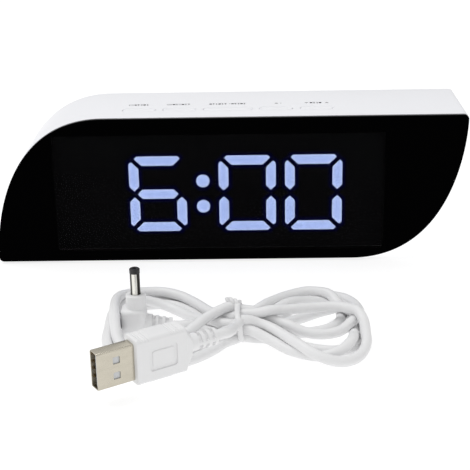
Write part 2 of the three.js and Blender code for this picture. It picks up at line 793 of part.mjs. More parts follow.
function usbPlugBody() {
  const [length, thickness, width] = usbGrip;
  const gripOutline = roundedRectangle([0, 0], thickness, width, usbGripCorner, 3);
  const grip = extrude(gripOutline, length).rotateX(Math.PI / 2).rotateZ(-Math.PI / 2)
    .translate(usbGripFront, 0, usbMiddle);
  const shoulderLength = usbShoulder + 2 * seatGap;
  const shoulder = new THREE.CylinderGeometry(usbShoulderRadius, usbReliefDiameter / 2, shoulderLength, 16)
    .rotateZ(-Math.PI / 2)
    .scale(1, ...usbShoulderShape)
    .translate(usbGripBack - usbShoulder / 2 + seatGap, 0, usbMiddle);
  const relief = rodX(usbReliefDiameter, [usbReliefEnd, usbGripBack], 0, usbMiddle);
  const grooves = reliefGrooveRings(usbReliefDiameter / 2 + reliefGrooveStand[1], (at) => usbReliefEnd + at)
    .map((ring) => ring.translate(0, 0, usbMiddle));
  const [recessLength, recessWidth, recessDepth] = gripRecess;
  const recesses = [-1, 1].map((side) => block(
    around(usbGripFront - length / 2, recessLength),
    around((side * thickness) / 2, 2 * recessDepth),
    around(usbMiddle, recessWidth),
  ));
  return cut(join(grip, shoulder, relief), ...grooves, ...recesses);
}

function usbPlugShell() {
  const [width, thickness, length] = usbShell;
  const outer = block([-length, 0], around(0, thickness), around(usbMiddle, width));
  const inner = block(
    [-length + usbFloorThickness, 1],
    around(0, thickness - 2 * usbShellWall),
    around(usbMiddle, width - 2 * usbShellWall),
  );
  const windows = [-1, 1].map((side) => block(
    around(-length / 2 + usbWindowShift, usbWindowSide),
    around(0, thickness + 2),
    around(usbMiddle + (side * usbWindowPitch) / 2, usbWindowSide),
  ));
  return cut(outer, inner, ...windows);
}

function usbPlugTongue() {
  const [width, thickness, length] = usbShell;
  const back = thickness / 2 - usbShellWall - seatGap;
  return block(
    [-length + usbFloorThickness + seatGap, -usbTongueSunk],
    [back - usbTongueThickness, back],
    around(usbMiddle, width - 2 * usbShellWall - 2 * seatGap),
  );
}

/** The hank's outer shape: two round lobes and a narrow waist, seen from above. */
function hankOutline() {
  const [cx, cy] = hankCentre;
  const shape = new THREE.Shape();
  shape.moveTo(cx, cy - hankHalfWaist);
  const lobe = (reach, side) => {
    const along = (share) => cx + side * reach * share;
    const aside = (offset) => cy + side * offset;
    const { start, rise, wide, turn, flank } = hankShares;
    const waist = hankHalfWaist + 1;
    const deep = hankHalfDepth;
    shape.bezierCurveTo(along(start), aside(-waist), along(rise), aside(-deep), along(wide), aside(-deep));
    shape.bezierCurveTo(along(turn), aside(-deep), along(1), aside(-deep * flank), along(1), cy);
    shape.bezierCurveTo(along(1), aside(deep * flank), along(turn), aside(deep), along(wide), aside(deep));
    shape.bezierCurveTo(along(rise), aside(deep), along(start), aside(waist), cx, aside(hankHalfWaist));
  };
  lobe(hankRightReach, 1);
  lobe(hankLeftReach, -1);
  const points = shape.getPoints(6);
  return points[0].distanceTo(points[points.length - 1]) < 1e-6 ? points.slice(0, -1) : points;
}

const plugHole = [
  dcPlugAt[0] + dcElbowShift - dcPlugWidth / 2 - plugHoleMargins[0],
  dcArmEnd + plugHoleMargins[1],
];

function cordHank() {
  const [left, right] = plugHole;
  const holeCentre = [(left + right) / 2, dcPlugAt[1]];
  const hole = roundedRectangle(holeCentre, right - left, plugHoleDepth, plugHoleCorner, 3);
  const body = column(hankOutline(), 0, hankHeight, [hole]);
  const [cx, cy] = hankCentre;
  const underTie = block(
    around(cx, tieWidth + 2 * cordGap),
    around(cy, 4 * hankHalfWaist),
    [-1, tieThickness + cordGap],
  );
  const abovePlugLift = [usbPlugLift - cordGap, hankHeight + 1];
  const underPlug = block(
    [usbReliefEnd - cordGap, 0],
    around(0, usbGrip[1] + 2 * cordGap),
    abovePlugLift,
  ).rotateZ(usbPlugTurn).translate(usbPlugTip[0], usbPlugTip[1], 0);
  const besideLead = block(leadTrench, [cy - 2 * hankHalfDepth, leadTrenchEdge], abovePlugLift);
  return cut(body, underTie, underPlug, besideLead);
}

function twistTie() {
  const [cx, cy] = hankCentre;
  const inside = 2 * (hankHalfWaist + tieSlack);
  const low = tieThickness;
  const high = hankHeight + cordGap;
  const middle = [cy, (low + high) / 2];
  const inner = roundedRectangle(middle, inside, high - low, 0.5, 2);
  const outer = roundedRectangle(middle, inside + 2 * tieThickness, high - low + 2 * tieThickness, 1.2, 3);
  const band = extrude(outer, tieWidth, [inner]).rotateZ(Math.PI / 2).rotateY(Math.PI / 2)
    .translate(cx - tieWidth / 2, 0, 0);
  const tailReach = tieTail.reach.map((offset) => cx + offset);
  const tail = rodX(tieTail.diameter, tailReach, cy + tieTail.setback, high + tieThickness + tieTail.rise, 8);
  return join(band, tail);
}

// Routes chosen by hand, from the plugs to the hank.
const dcLeadRoute = [[-17.7, -84, 3.1], [-16, -84, 3.1], [-14.3, -84, 3.2], [-12.6, -84, 3.4]];
const usbLeadRoute = [
  [-2.9, -108.2, 11.1], [-1.3, -107.1, 11], [0.3, -105.5, 10.6], [1.4, -103.4, 10],
  [2, -101, 9.4], [2.3, -98.6, 8.8], [2.5, -96.4, 8.2],
];

function leadTube(route, steps) {
  const curve = new THREE.CatmullRomCurve3(route.map(([x, y, z]) => new THREE.Vector3(x, y, z)));
  return sweep(curve, cordDiameter, 8, steps);
}

// ---------------------------------------------------------------- the assembly
add('front_lens', frontLens(), blackLens);
add('main_housing', mainHousing(), whiteShell);
add('display_filter', slab(windowOutline(fitGap), housingFront + seatGap, filterBack), smokedFilm);
add('segment_diffuser', segmentDiffuser(), milkyPlastic);
add('display_reflector', displayReflector(), whitePlastic);
add('main_board', mainBoard(), boardGreen);
add('display_driver_chip', chip(driverChip), chipBlack);
add('clock_chip', chip(clockChip), chipBlack);
const [buzzerX, buzzerRise] = buzzerAt;
const buzzerReach = [boardBack, boardBack + buzzerHeight];
add('buzzer', rodY(buzzerDiameter, buzzerX, buzzerReach, buzzerRise, 28), chipBlack);

add('button_board', block(
  around(0, 2 * buttonBoardHalf()),
  around(buttonRowY, buttonBoardWidth),
  [buttonBoardTop - boardThickness, buttonBoardTop],
), boardGreen);
buttonCentres.forEach((x, index) => {
  add(`switch_body_${index + 1}`, switchBody(x), chipBlack);
  add(`switch_plunger_${index + 1}`, switchPlunger(x), whitePlastic);
  add(`button_${index + 1}`, buttonCap(index), whiteShell);
});

add('rear_cover', rearCover(), whiteShell);
add('battery_door', batteryDoor(), whiteShell);
cellRises.forEach((z, index) => {
  const mesh = add(`aaa_cell_${index + 1}`, cell(), cellWrap);
  mesh.position.set(trayShift + cellOffset(index), cellY, z);
  mesh.rotation.z = nubSide(index) > 0 ? 0 : Math.PI;
  placeContact(`flat_contact_${index + 1}`, flatContact(), nubSide(index), z);
  placeContact(`spring_contact_${index + 1}`, springContact(), -nubSide(index), z);
});
add('dc_jack', dcJack(), blackPlastic);

coverScrewPlaces.forEach(([x, z], index) => {
  add(`cover_screw_${index + 1}`, screw(coverScrewLength), steel).position.set(x, coverBack, z);
});
boardScrewPlaces.forEach(([x, z], index) => {
  add(`board_screw_${index + 1}`, screw(boardScrewLength), steel)
    .position.set(x, boardBack + screwHeadHeight + seatGap, z);
});
footPlaces.forEach(([x, y], index) => {
  add(`foot_${index + 1}`, rodZ(footDiameter, x, y, [0, bottomZ + footSunk], 24), blackRubber);
});

const lead = new THREE.Group();
clock.add(lead);
add('dc_plug_body', dcPlugBody(), whiteVinyl, lead);
add('dc_plug_barrel', dcPlugBarrel(), nickel, lead);
add('dc_plug_tip', dcPlugTip(), blackPlastic, lead);
const usbPlug = new THREE.Group();
usbPlug.position.set(usbPlugTip[0], usbPlugTip[1], usbPlugLift);
usbPlug.rotation.z = usbPlugTurn;
lead.add(usbPlug);
add('usb_plug_body', usbPlugBody(), whiteVinyl, usbPlug);
add('usb_plug_shell', usbPlugShell(), nickel, usbPlug);
add('usb_plug_tongue', usbPlugTongue(), whitePlastic, usbPlug);
add('cord_hank', cordHank(), whiteVinyl, lead);
add('cord_dc_lead', leadTube(dcLeadRoute, 3), whiteVinyl, lead);
add('cord_usb_lead', leadTube(usbLeadRoute, 6), whiteVinyl, lead);
add('twist_tie', twistTie(), whiteVinyl, lead);

export default clock;
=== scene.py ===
"""An alarm clock with a dark glass front and its power lead: the looks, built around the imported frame.

Lengths in the shape functions are millimetres in the frame's axes: +X to the right of the display,
the display faces -Y, +Z up. Meshes are put into the scene in metres.
"""

import math

import bmesh
import bpy
import numpy as np
from mathutils import Matrix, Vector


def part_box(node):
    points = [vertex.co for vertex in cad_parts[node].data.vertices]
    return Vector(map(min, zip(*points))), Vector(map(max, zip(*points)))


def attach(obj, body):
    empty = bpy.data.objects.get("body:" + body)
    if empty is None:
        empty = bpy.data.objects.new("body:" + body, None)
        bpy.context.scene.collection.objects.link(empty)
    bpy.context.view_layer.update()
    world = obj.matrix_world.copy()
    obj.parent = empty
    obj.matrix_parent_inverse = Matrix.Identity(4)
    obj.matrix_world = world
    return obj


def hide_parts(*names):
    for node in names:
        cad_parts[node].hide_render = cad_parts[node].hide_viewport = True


bl_info = {
    "name": "Leaf Alarm Clock",
    "version": (1, 0, 0),
    "blender": (4, 5, 0),
    "location": "3D View > Sidebar > Clock",
    "description": "Builds the fine surfaces and finishes of a leaf-shaped alarm clock and its lead",
    "category": "Object",
}

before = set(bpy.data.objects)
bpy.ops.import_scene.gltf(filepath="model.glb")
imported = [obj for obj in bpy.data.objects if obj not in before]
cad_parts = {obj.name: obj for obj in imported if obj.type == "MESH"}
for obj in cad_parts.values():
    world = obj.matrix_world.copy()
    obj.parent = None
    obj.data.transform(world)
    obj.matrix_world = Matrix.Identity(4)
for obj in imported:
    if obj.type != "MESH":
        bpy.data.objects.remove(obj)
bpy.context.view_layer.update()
MM = 0.001
TAU = 2 * math.pi


def span(node):
    """A node's lowest and highest corners, in millimetres."""
    low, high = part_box(node)
    return np.array(low) / MM, np.array(high) / MM


def middle(node):
    """The middle of a node's box, in millimetres."""
    low, high = span(node)
    return (low + high) / 2


# ------------------------------------------------------------------------------- sizes and colours
class ClockSizes(bpy.types.PropertyGroup):
    """Sizes that only the fine surfaces have, which the frame's plain solids leave out."""

    shell_round: bpy.props.FloatProperty(
        name="Shell edge", description="Radius of the housing's outer edges",
        default=0.6 * MM, unit="LENGTH",
    )
    lens_round: bpy.props.FloatProperty(
        name="Lens edge", description="Width of the polished edge round the lens's face",
        default=0.3 * MM, unit="LENGTH",
    )
    cap_round: bpy.props.FloatProperty(
        name="Button edge", description="Radius of each button cap's top edge",
        default=0.3 * MM, unit="LENGTH",
    )
    part_gap: bpy.props.FloatProperty(
        name="Gap", description="Gap round a button, and between the door and its recess",
        default=0.2 * MM, unit="LENGTH",
    )
    glow_width: bpy.props.FloatProperty(
        name="Glow width", description="How far light spreads round a lit segment",
        default=1.7 * MM, unit="LENGTH",
    )
    cord_diameter: bpy.props.FloatProperty(
        name="Cord diameter", description="Outer diameter of the power cord",
        default=3.5 * MM, unit="LENGTH",
    )
    tie_diameter: bpy.props.FloatProperty(
        name="Tie thickness", description="Thickness of the twist tie's covered wire",
        default=1.5 * MM, unit="LENGTH",
    )


class ClockColours(bpy.types.PropertyGroup):
    """Base colours, as linear red, green, blue and alpha."""

    shell: bpy.props.FloatVectorProperty(
        name="Shell", description="White of the housing, covers and buttons",
        default=(0.86, 0.865, 0.895, 1), size=4, subtype="COLOR",
    )
    vinyl: bpy.props.FloatVectorProperty(
        name="Vinyl", description="White of the cord and its plugs",
        default=(0.82, 0.82, 0.825, 1), size=4, subtype="COLOR",
    )
    lens: bpy.props.FloatVectorProperty(
        name="Lens", description="Black behind the glass",
        default=(0.0, 0.0, 0.0001, 1), size=4, subtype="COLOR",
    )
    light: bpy.props.FloatVectorProperty(
        name="Display light", description="Light of a lit segment in its middle",
        default=(0.385, 0.505, 0.93, 1), size=4, subtype="COLOR",
    )
    metal: bpy.props.FloatVectorProperty(
        name="Plug metal", description="Plated metal of the plugs",
        default=(0.60, 0.56, 0.47, 1), size=4, subtype="COLOR",
    )


# ------------------------------------------------------------------------------- outlines
def rounded(width, height, radius, centre=(0, 0), steps=6):
    """A rectangle with round corners: four quarter circles joined by straight lines.

    Gives a function of the inset, which moves every side inwards by that much."""

    def outline(inset=0):
        corner = max(radius - inset, 0.03)
        turn = np.linspace(0, math.pi / 2, steps + 1)
        quarters = turn[None] + (math.pi / 2) * np.arange(4)[:, None]
        side_x = np.array([1, -1, -1, 1])[:, None]
        side_z = np.array([1, 1, -1, -1])[:, None]
        x = centre[0] + side_x * (width / 2 - inset - corner) + corner * np.cos(quarters)
        z = centre[1] + side_z * (height / 2 - inset - corner) + corner * np.sin(quarters)
        return np.stack([x.ravel(), z.ravel()], axis=1)

    return outline


def disc(diameter, centre=(0, 0), sides=40):
    """A circle, as a function of the inset."""

    def outline(inset=0):
        turn = TAU * np.arange(sides) / sides
        radius = diameter / 2 - inset
        return np.stack([centre[0] + radius * np.cos(turn), centre[1] + radius * np.sin(turn)], axis=1)

    return outline


LEAF_CORNER = 1.8
LEAF_RUN = 42.3
LEAF_SIDE_HANDLE = 10
LEAF_TOP_HANDLE = 38


def leaf(inset=0, corner_steps=8, arc_steps=56):
    """The body's outline in X and Z, moved inwards by inset.

    A small quarter circle at the lower left, then one cubic Bezier curve that starts straight up and
    ends level with the top, then the same two turned half a turn about the body's middle."""
    (left, _, bottom), (right, _, top) = span("main_housing")
    centre = np.array([(left + right) / 2, (bottom + top) / 2])
    radius = max(LEAF_CORNER - inset, 0.03)
    turn = math.pi * np.linspace(1.5, 1, corner_steps, endpoint=False)
    reach = inset + radius
    corner = np.array([left, bottom]) + reach + radius * np.stack([np.cos(turn), np.sin(turn)], axis=1)
    handles = np.array([
        [left, bottom + LEAF_CORNER],
        [left, bottom + LEAF_CORNER + LEAF_SIDE_HANDLE],
        [left + LEAF_RUN - LEAF_TOP_HANDLE, top],
        [left + LEAF_RUN, top],
    ])
    t = np.linspace(0, 1, arc_steps + 1)[:, None]
    weights = np.hstack([(1 - t) ** 3, 3 * t * (1 - t) ** 2, 3 * t**2 * (1 - t), t**3])
    slopes = np.hstack([-3 * (1 - t) ** 2, 3 * (1 - t) * (1 - 3 * t), 3 * t * (2 - 3 * t), 3 * t**2])
    along = slopes @ handles
    along /= np.linalg.norm(along, axis=1, keepdims=True)
    arc = weights @ handles + inset * np.stack([along[:, 1], -along[:, 0]], axis=1)
    arc[:, 1] = np.maximum(arc[:, 1], bottom + reach + 0.01 * np.arange(arc_steps + 1))
    half = np.concatenate([corner, arc])
    return np.concatenate([half, 2 * centre - half])


# ------------------------------------------------------------------------------- surfaces
def upright(points, depth):
    """Outline points in X and Z, standing at one depth along Y."""
    return np.stack([points[:, 0], np.full(len(points), depth), points[:, 1]], axis=1)


def level(points, height):
    """Outline points in X and Y, lying at one height."""
    return np.stack([points[:, 0], points[:, 1], np.full(len(points), height)], axis=1)


def across(points, place):
    """Outline points in Y and Z, standing at one place along X."""
    return np.stack([np.full(len(points), place), points[:, 0], points[:, 1]], axis=1)


def carried(outline, profile, lay):
    """An outline carried along a profile of (inset, place) pairs: row i is the outline moved inwards
    by inset i and laid at place i."""
    return np.stack([lay(outline(inset), place) for inset, place in profile])


def edge(radius, inset, place, way, steps=5):
    """A quarter circle of a profile: it starts at (inset + radius, place) and ends at
    (inset, place + way * radius)."""
    turn = np.linspace(0, math.pi / 2, steps + 1)
    return [
        (inset + radius * (1 - math.sin(a)), place + way * radius * (1 - math.cos(a)))
        for a in turn
    ]


def slab_profile(start, end, radius_start, radius_end):
    """A solid slab's profile from start to end, with a quarter circle at each end."""
    way = 1 if end > start else -1
    return edge(radius_start, 0, start, way) + edge(radius_end, 0, end, -way)[::-1]


def turned(profile, axis_point, lay, sides=48):
    """A lathe surface: each (radius, place) pair of the profile becomes a circle about the axis."""
    turn = TAU * np.arange(sides) / sides
    ring = np.stack([np.cos(turn), np.sin(turn)], axis=1)
    return np.stack([lay(axis_point + max(radius, 1e-3) * ring, place) for radius, place in profile])


def smooth_line(points, per_span):
    """A Catmull-Rom curve through points: between two of them, the cubic whose slope at each is half
    the step from its neighbour on one side to its neighbour on the other."""
    points = np.asarray(points, float)
    ends = np.concatenate([[2 * points[0] - points[1]], points, [2 * points[-1] - points[-2]]])
    t = np.linspace(0, 1, per_span, endpoint=False)[None, :, None]
    a, b, c, d = (ends[k : len(ends) - 3 + k][:, None] for k in range(4))
    curve = 2 * b + (c - a) * t + (2 * a - 5 * b + 4 * c - d) * t**2 + (3 * b - a - 3 * c + d) * t**3
    return np.concatenate([0.5 * curve.reshape(-1, 3), points[-1:]])


def spaced(line, step):
    """The same line with its points about step apart."""
    along = np.concatenate([[0], np.cumsum(np.linalg.norm(np.diff(line, axis=0), axis=1))])
    at = np.linspace(0, along[-1], int(round(along[-1] / step)) + 1)
    return np.stack([np.interp(at, along, line[:, k]) for k in range(3)], axis=1)


def tube(line, diameter, reference=(0, 0, 1), sides=16):
    """A round tube: each point of the line carries a circle square to the line's direction. Its first
    axis is square to the direction and to reference. The ends are closed by two rounding rings."""
    along = np.gradient(line, axis=0)
    along /= np.linalg.norm(along, axis=1, keepdims=True)
    first = np.cross(along, reference)
    first /= np.linalg.norm(first, axis=1, keepdims=True)
    second = np.cross(first, along)
    turn = TAU * np.arange(sides) / sides
    radius = np.full(len(line), diameter / 2)
    radius[[0, -1]] *= 0.8
    circle = np.cos(turn)[None, :, None] * first[:, None] + np.sin(turn)[None, :, None] * second[:, None]
    return line[:, None] + radius[:, None, None] * circle


class Shells:
    """Closed surfaces gathered into one mesh."""

    def __init__(self):
        self.points = []
        self.faces = []
        self.marks = []
        self.count = 0

    def add(self, grid, closed=False, marks=None):
        """A grid of points, rows by columns, whose columns join up. Its rows join up too where closed
        is set, and otherwise the first and last rows are filled in."""
        rows, columns = grid.shape[:2]
        row = np.arange(rows if closed else rows - 1)[:, None]
        column = np.arange(columns)[None]
        after = (column + 1) % columns
        above = (row + 1) % rows
        quads = np.stack([
            row * columns + column, row * columns + after,
            above * columns + after, above * columns + column,
        ], axis=-1).reshape(-1, 4) + self.count
        self.faces += quads.tolist()
        if not closed:
            last = self.count + (rows - 1) * columns
            self.faces.append(list(range(self.count + columns - 1, self.count - 1, -1)))
            self.faces.append(list(range(last, last + columns)))
        self.points.append(grid.reshape(-1, 3))
        self.marks.append(np.zeros(rows * columns) if marks is None else np.repeat(marks, columns))
        self.count += rows * columns
        return self

    def mesh(self, name, smooth_angle=32, mark_name=None):
        """One object holding all the shells, in metres, faces outwards, smooth up to the angle."""
        mesh = bpy.data.meshes.new(name)
        mesh.from_pydata(np.concatenate(self.points) * MM, [], self.faces)
        if mark_name:
            attribute = mesh.attributes.new(mark_name, "FLOAT", "POINT")
            attribute.data.foreach_set("value", np.concatenate(self.marks).astype(np.float32))
        face_outwards(mesh)
        soften(mesh, smooth_angle)
        piece = bpy.data.objects.new(name, mesh)
        bpy.context.scene.collection.objects.link(piece)
        return piece


def face_outwards(mesh):
    """Turns every face of a closed mesh outwards."""
    work = bmesh.new()
    work.from_mesh(mesh)
    bmesh.ops.recalc_face_normals(work, faces=work.faces)
    work.to_mesh(mesh)
    work.free()


def soften(mesh, smooth_angle=32):
    """Shades the mesh smooth, apart from edges that turn by more than the angle, in degrees."""
    mesh.shade_smooth()
    mesh.set_sharp_from_angle(angle=math.radians(smooth_angle))


def solid(name, grid, closed=False, smooth_angle=32):
    """One object from one grid of points, as Shells.add joins it."""
    return Shells().add(grid, closed).mesh(name, smooth_angle)


def combine(piece, tools, operation, smooth_angle=32):
    """Joins the tools to the piece, or cuts them out of it, exactly, and uses them up."""
    for tool in tools:
        modifier = piece.modifiers.new("shape", "BOOLEAN")
        modifier.operation = operation
        modifier.solver = "EXACT"
        modifier.object = tool
    shown = piece.evaluated_get(bpy.context.evaluated_depsgraph_get())
    mesh = bpy.data.meshes.new_from_object(shown)
    piece.modifiers.clear()
    piece.data = mesh
    soften(mesh, smooth_angle)
    for tool in tools:
        bpy.data.objects.remove(tool)
    if not mesh.polygons:
        raise RuntimeError(f"{piece.name}: the Boolean left nothing")
    return piece


def hole(name, outline, floor, mouth, chamfer):
    """A cutting tool from floor out through a rear face at mouth, whose rim gets a small chamfer."""
    profile = [(0, floor), (0, mouth - chamfer), (-chamfer, mouth), (-chamfer, mouth + 1)]
    return solid(name, carried(outline, profile, upright))


def finish_piece(piece, body, slot, material, *nodes):
    """Gives a new piece its material and body, and hides the frame nodes that it stands for. The slot is
    not used.
    """
    piece.data.materials.clear()
    piece.data.materials.append(material)
    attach(piece, body)
    if nodes:
        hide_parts(*nodes)
    return piece


# ------------------------------------------------------------------------------- materials
class Value:
    """A shader socket that takes part in sums: each operator adds one Math node."""

    def __init__(self, tree, socket):
        self.tree = tree
        self.socket = socket

    def math(self, operation, *others, clamp=False):
        """One Math node, whose terms are numbers or values."""
        node = self.tree.nodes.new("ShaderNodeMath")
        node.operation = operation
        node.use_clamp = clamp
        for socket, term in zip(node.inputs, others):
            if isinstance(term, Value):
                self.tree.links.new(term.socket, socket)
            else:
                socket.default_value = term
        return Value(self.tree, node.outputs[0])

    def __add__(self, other):
        return self.math("ADD", self, other)

    def __sub__(self, other):
        return self.math("SUBTRACT", self, other)

    def __rsub__(self, other):
        return self.math("SUBTRACT", other, self)

    def __mul__(self, other):
        return self.math("MULTIPLY", self, other)

    def __gt__(self, other):
        return self.math("GREATER_THAN", self, other)

    def __lt__(self, other):
        return self.math("LESS_THAN", self, other)

    def __abs__(self):
        return self.math("ABSOLUTE", self)

    def clamped(self):
        """The value, kept from 0 to 1."""
        return self.math("MULTIPLY", self, 1, clamp=True)

    def larger(self, other):
        """Whichever of the two values is larger."""
        return self.math("MAXIMUM", self, other)

    def sine(self):
        return self.math("SINE", self)

    def angle_over(self, first):
        """The angle of the point whose second coordinate this is and whose first one is given."""
        return self.math("ARCTAN2", self, first)

    def wrapped(self, size):
        """The remainder after whole steps of size, from 0 up to size."""
        return self.math("FLOORED_MODULO", self, size)

    __radd__ = __add__
    __rmul__ = __mul__


class Finish:
    """One material round a Principled shader, with constants set on its own sockets."""

    def __init__(self, name, colour=None, **constants):
        self.material = bpy.data.materials.new(name)
        self.material.use_nodes = True
        self.tree = self.material.node_tree
        self.shader = self.tree.nodes["Principled BSDF"]
        if colour is not None:
            self.shader.inputs["Base Color"].default_value = colour
            self.material.diffuse_color = colour
        for name_of_socket, value in constants.items():
            self.shader.inputs[name_of_socket.replace("_", " ")].default_value = value

    def node(self, kind, settings=(), output=0, numbered=(), **named):
        """A node of that type: its settings first, then the values or links of its sockets, which are
        given by name, or by number where several sockets share a name."""
        node = self.tree.nodes.new("ShaderNode" + kind)
        for setting, value in dict(settings).items():
            setattr(node, setting, value)
        for key, value in [*dict(numbered).items(), *named.items()]:
            socket = node.inputs[key if isinstance(key, int) else key.replace("_", " ")]
            if isinstance(value, Value):
                self.tree.links.new(value.socket, socket)
            else:
                socket.default_value = value
        return Value(self.tree, node.outputs[output])

    def place(self, scale=(1, 1, 1)):
        """Object coordinates, stretched by scale."""
        here = self.node("TexCoord", output="Object")
        return self.node("Mapping", Vector=here, Scale=scale)

    def axes(self):
        """The three object coordinates, in millimetres."""
        apart = self.node("SeparateXYZ", Vector=self.node("TexCoord", output="Object"))
        return [Value(self.tree, socket) * (1 / MM) for socket in apart.socket.node.outputs]

    def noise(self, grain_mm, detail=2, scale=(1, 1, 1)):
        """Noise from 0 to 1 whose grains are about grain_mm across."""
        fineness = 1 / (grain_mm * MM)
        return self.node(
            "TexNoise", output="Fac", Vector=self.place(scale), Scale=fineness, Detail=detail,
        )

    def blend(self, share, first, second):
        """A colour from first to second as share goes from 0 to 1."""
        return self.node("Mix", {"data_type": "RGBA"}, 2, {0: share, 6: first, 7: second})

    def feed(self, name_of_socket, value):
        """Links a value or a colour to one of the shader's sockets."""
        self.tree.links.new(value.socket, self.shader.inputs[name_of_socket])
        return self

    def relief(self, height, depth_mm, strength=1.0):
        """Bumps of that height pattern, depth_mm deep."""
        bump = self.node("Bump", Height=height, Distance=depth_mm * MM, Strength=strength)
        return self.feed("Normal", bump)

    def roughen(self, around, by, grain_mm, scale=(1, 1, 1)):
        """Roughness that wanders by that much about a middle value."""
        return self.feed("Roughness", self.noise(grain_mm, 3, scale) * (2 * by) + (around - by))

    def mottle(self, colour, grain_mm, amount, scale=(1, 1, 1)):
        """A base colour that darkens slightly in soft patches."""
        darker = [channel * (1 - amount) for channel in colour[:3]] + [1]
        return self.feed("Base Color", self.blend(self.noise(grain_mm, 3, scale), colour, darker))


def moulded_white(name, colour):
    """White moulded ABS: an even satin with the faint spark texture of the mould."""
    made = Finish(name, colour, Specular_IOR_Level=0.4)
    made.mottle(colour, 18, 0.02)
    made.roughen(0.36, 0.06, 1.2)
    return made.relief(made.noise(0.35), 0.012, 0.5).material


def soft_vinyl(name, colour):
    """Flexible white vinyl: softer shine, faint waviness and a slight grey in patches."""
    made = Finish(name, colour, Specular_IOR_Level=0.45)
    made.mottle(colour, 9, 0.045)
    made.roughen(0.46, 0.07, 2.5)
    return made.relief(made.noise(1.1), 0.05, 0.35).material


def plated_metal(name, colour, grain=(1, 1, 1), roughness=0.27):
    """Nickel plate over steel or brass, with fine drawing lines along the part and dull patches."""
    made = Finish(name, colour, Metallic=1.0)
    made.mottle(colour, 1.5, 0.16, grain)
    made.roughen(roughness, 0.09, 0.8, grain)
    return made.relief(made.noise(0.25, 2, grain), 0.012, 0.5).material


def chrome_painted_reflection(name, axis_point):
    """Polished chrome round an upright axis, with painted reflection: dark and bright bands, painted into
    the base colour by the angle round the axis, run along it in place of the reflections that a bright
    cylinder shows in a light room."""
    made = Finish(name, Metallic=1.0, Roughness=0.14)
    x, y, _ = made.axes()
    # Painted reflection: the base colour goes from dark to bright with the angle round the axis, standing
    # in for the room's reflection.
    angle = (y - axis_point[1]).angle_over(x - axis_point[0])
    painted_reflection_share = (angle * 3.0 + 0.2).sine() + made.noise(2.5, 1, (1, 1, 0.1)) * 0.5
    # Colours of the painted reflection: the dark bands and the bright bands.
    dark, bright = (0.035, 0.033, 0.03, 1), (0.8, 0.79, 0.74, 1)
    made.feed("Base Color", made.blend((painted_reflection_share * 1.6 + 0.1).clamped(), dark, bright))
    return made.relief(made.noise(0.25, 2, (1, 1, 0.1)), 0.008, 0.4).material


def dark_moulding(name, colour, roughness=0.45, grain_mm=0.4, depth_mm=0.02):
    """Black plastic or rubber with a matt, slightly uneven skin."""
    made = Finish(name, colour)
    made.mottle(colour, 3, 0.25)
    made.roughen(roughness, 0.08, 1.5)
    return made.relief(made.noise(grain_mm), depth_mm, 0.6).material


def coated_board(name):
    """A circuit board: green lacquer, lighter where copper tracks run below it, and bright pads."""
    made = Finish(name, Specular_IOR_Level=0.5)
    x, _, z = made.axes()
    wander = made.noise(9, 1) * 5
    track_width = 0.45
    upright_tracks = (x + wander).wrapped(2.2) < track_width
    level_tracks = (z + wander).wrapped(2.6) < track_width
    tracks = upright_tracks.larger(level_tracks)
    pad_pitch = 3.2 * MM
    cells = made.node("TexVoronoi", output="Distance", Vector=made.place(), Scale=1 / pad_pitch)
    pads = cells < 0.17
    lacquer = made.blend(tracks, (0.012, 0.105, 0.045, 1), (0.03, 0.19, 0.085, 1))
    made.feed("Base Color", made.blend(pads, lacquer, (0.62, 0.6, 0.55, 1)))
    made.feed("Metallic", pads * 0.9)
    made.roughen(0.34, 0.06, 2)
    return made.relief(tracks + pads, 0.04, 0.6).material


def wrapped_cell(name, node):
    """A cell's printed wrap: blue with a pale band, and bare metal at both ends."""
    made = Finish(name)
    low, high = span(node)
    x, _, _ = made.axes()
    from_end = (high[0] - low[0]) / 2 - abs(x - (low[0] + high[0]) / 2)
    bare = from_end < 1.6
    band_start, band_end = low[0] + 9, low[0] + 14
    band = (x - band_start).clamped() * (band_end - x).clamped()
    wrap = made.blend(band > 0.5, (0.035, 0.115, 0.26, 1), (0.72, 0.74, 0.76, 1))
    made.feed("Base Color", made.blend(bare, wrap, (0.7, 0.68, 0.62, 1)))
    made.feed("Metallic", bare * 1.0)
    return made.roughen(0.32, 0.05, 3).material


def dark_glass(name, colour):
    """The lens: black paint behind polished glass, and clearer where the display is.

    The clear area is the frame's window, found from the display filter's box."""
    made = Finish(name, colour, Roughness=0.04, Specular_IOR_Level=0.008, IOR=1.5)
    low, high = span("display_filter")
    x, _, z = made.axes()
    softness = 2.0
    inside_x = ((high[0] - low[0]) / 2 - abs(x - (low[0] + high[0]) / 2)) * softness
    inside_z = ((high[2] - low[2]) / 2 - abs(z - (low[2] + high[2]) / 2)) * softness
    window = inside_x.clamped() * inside_z.clamped()
    made.feed("Base Color", made.blend(window, colour, (0.0034, 0.0034, 0.0037, 1)))
    made.feed("Alpha", 1 - window * 0.6)
    made.material.surface_render_method = "BLENDED"
    return made.material


def smoked_film(name):
    """The film behind the lens: grey and see-through."""
    made = Finish(name, (0.004, 0.004, 0.005, 1), Specular_IOR_Level=0.008, Alpha=0.2)
    made.roughen(0.3, 0.05, 4)
    made.material.surface_render_method = "BLENDED"
    return made.material


def lit_plastic(name, colour):
    """A lit segment: bluish in its core, whiter at its rim, a little uneven from lamp to lamp."""
    body = (0.6, 0.6, 0.62, 1)
    made = Finish(name, body, Emission_Strength=4.0, Roughness=0.5, Specular_IOR_Level=0.1)
    core = made.node("Attribute", {"attribute_name": "core"}, output="Fac")
    rim = (0.6, 0.7, 1.0, 1)
    light = made.blend(core, rim, colour)
    dimmer = [channel * 0.86 for channel in colour[:3]] + [1]
    made.feed("Emission Color", made.blend(made.noise(14, 1) * 0.6, light, dimmer))
    return made.material


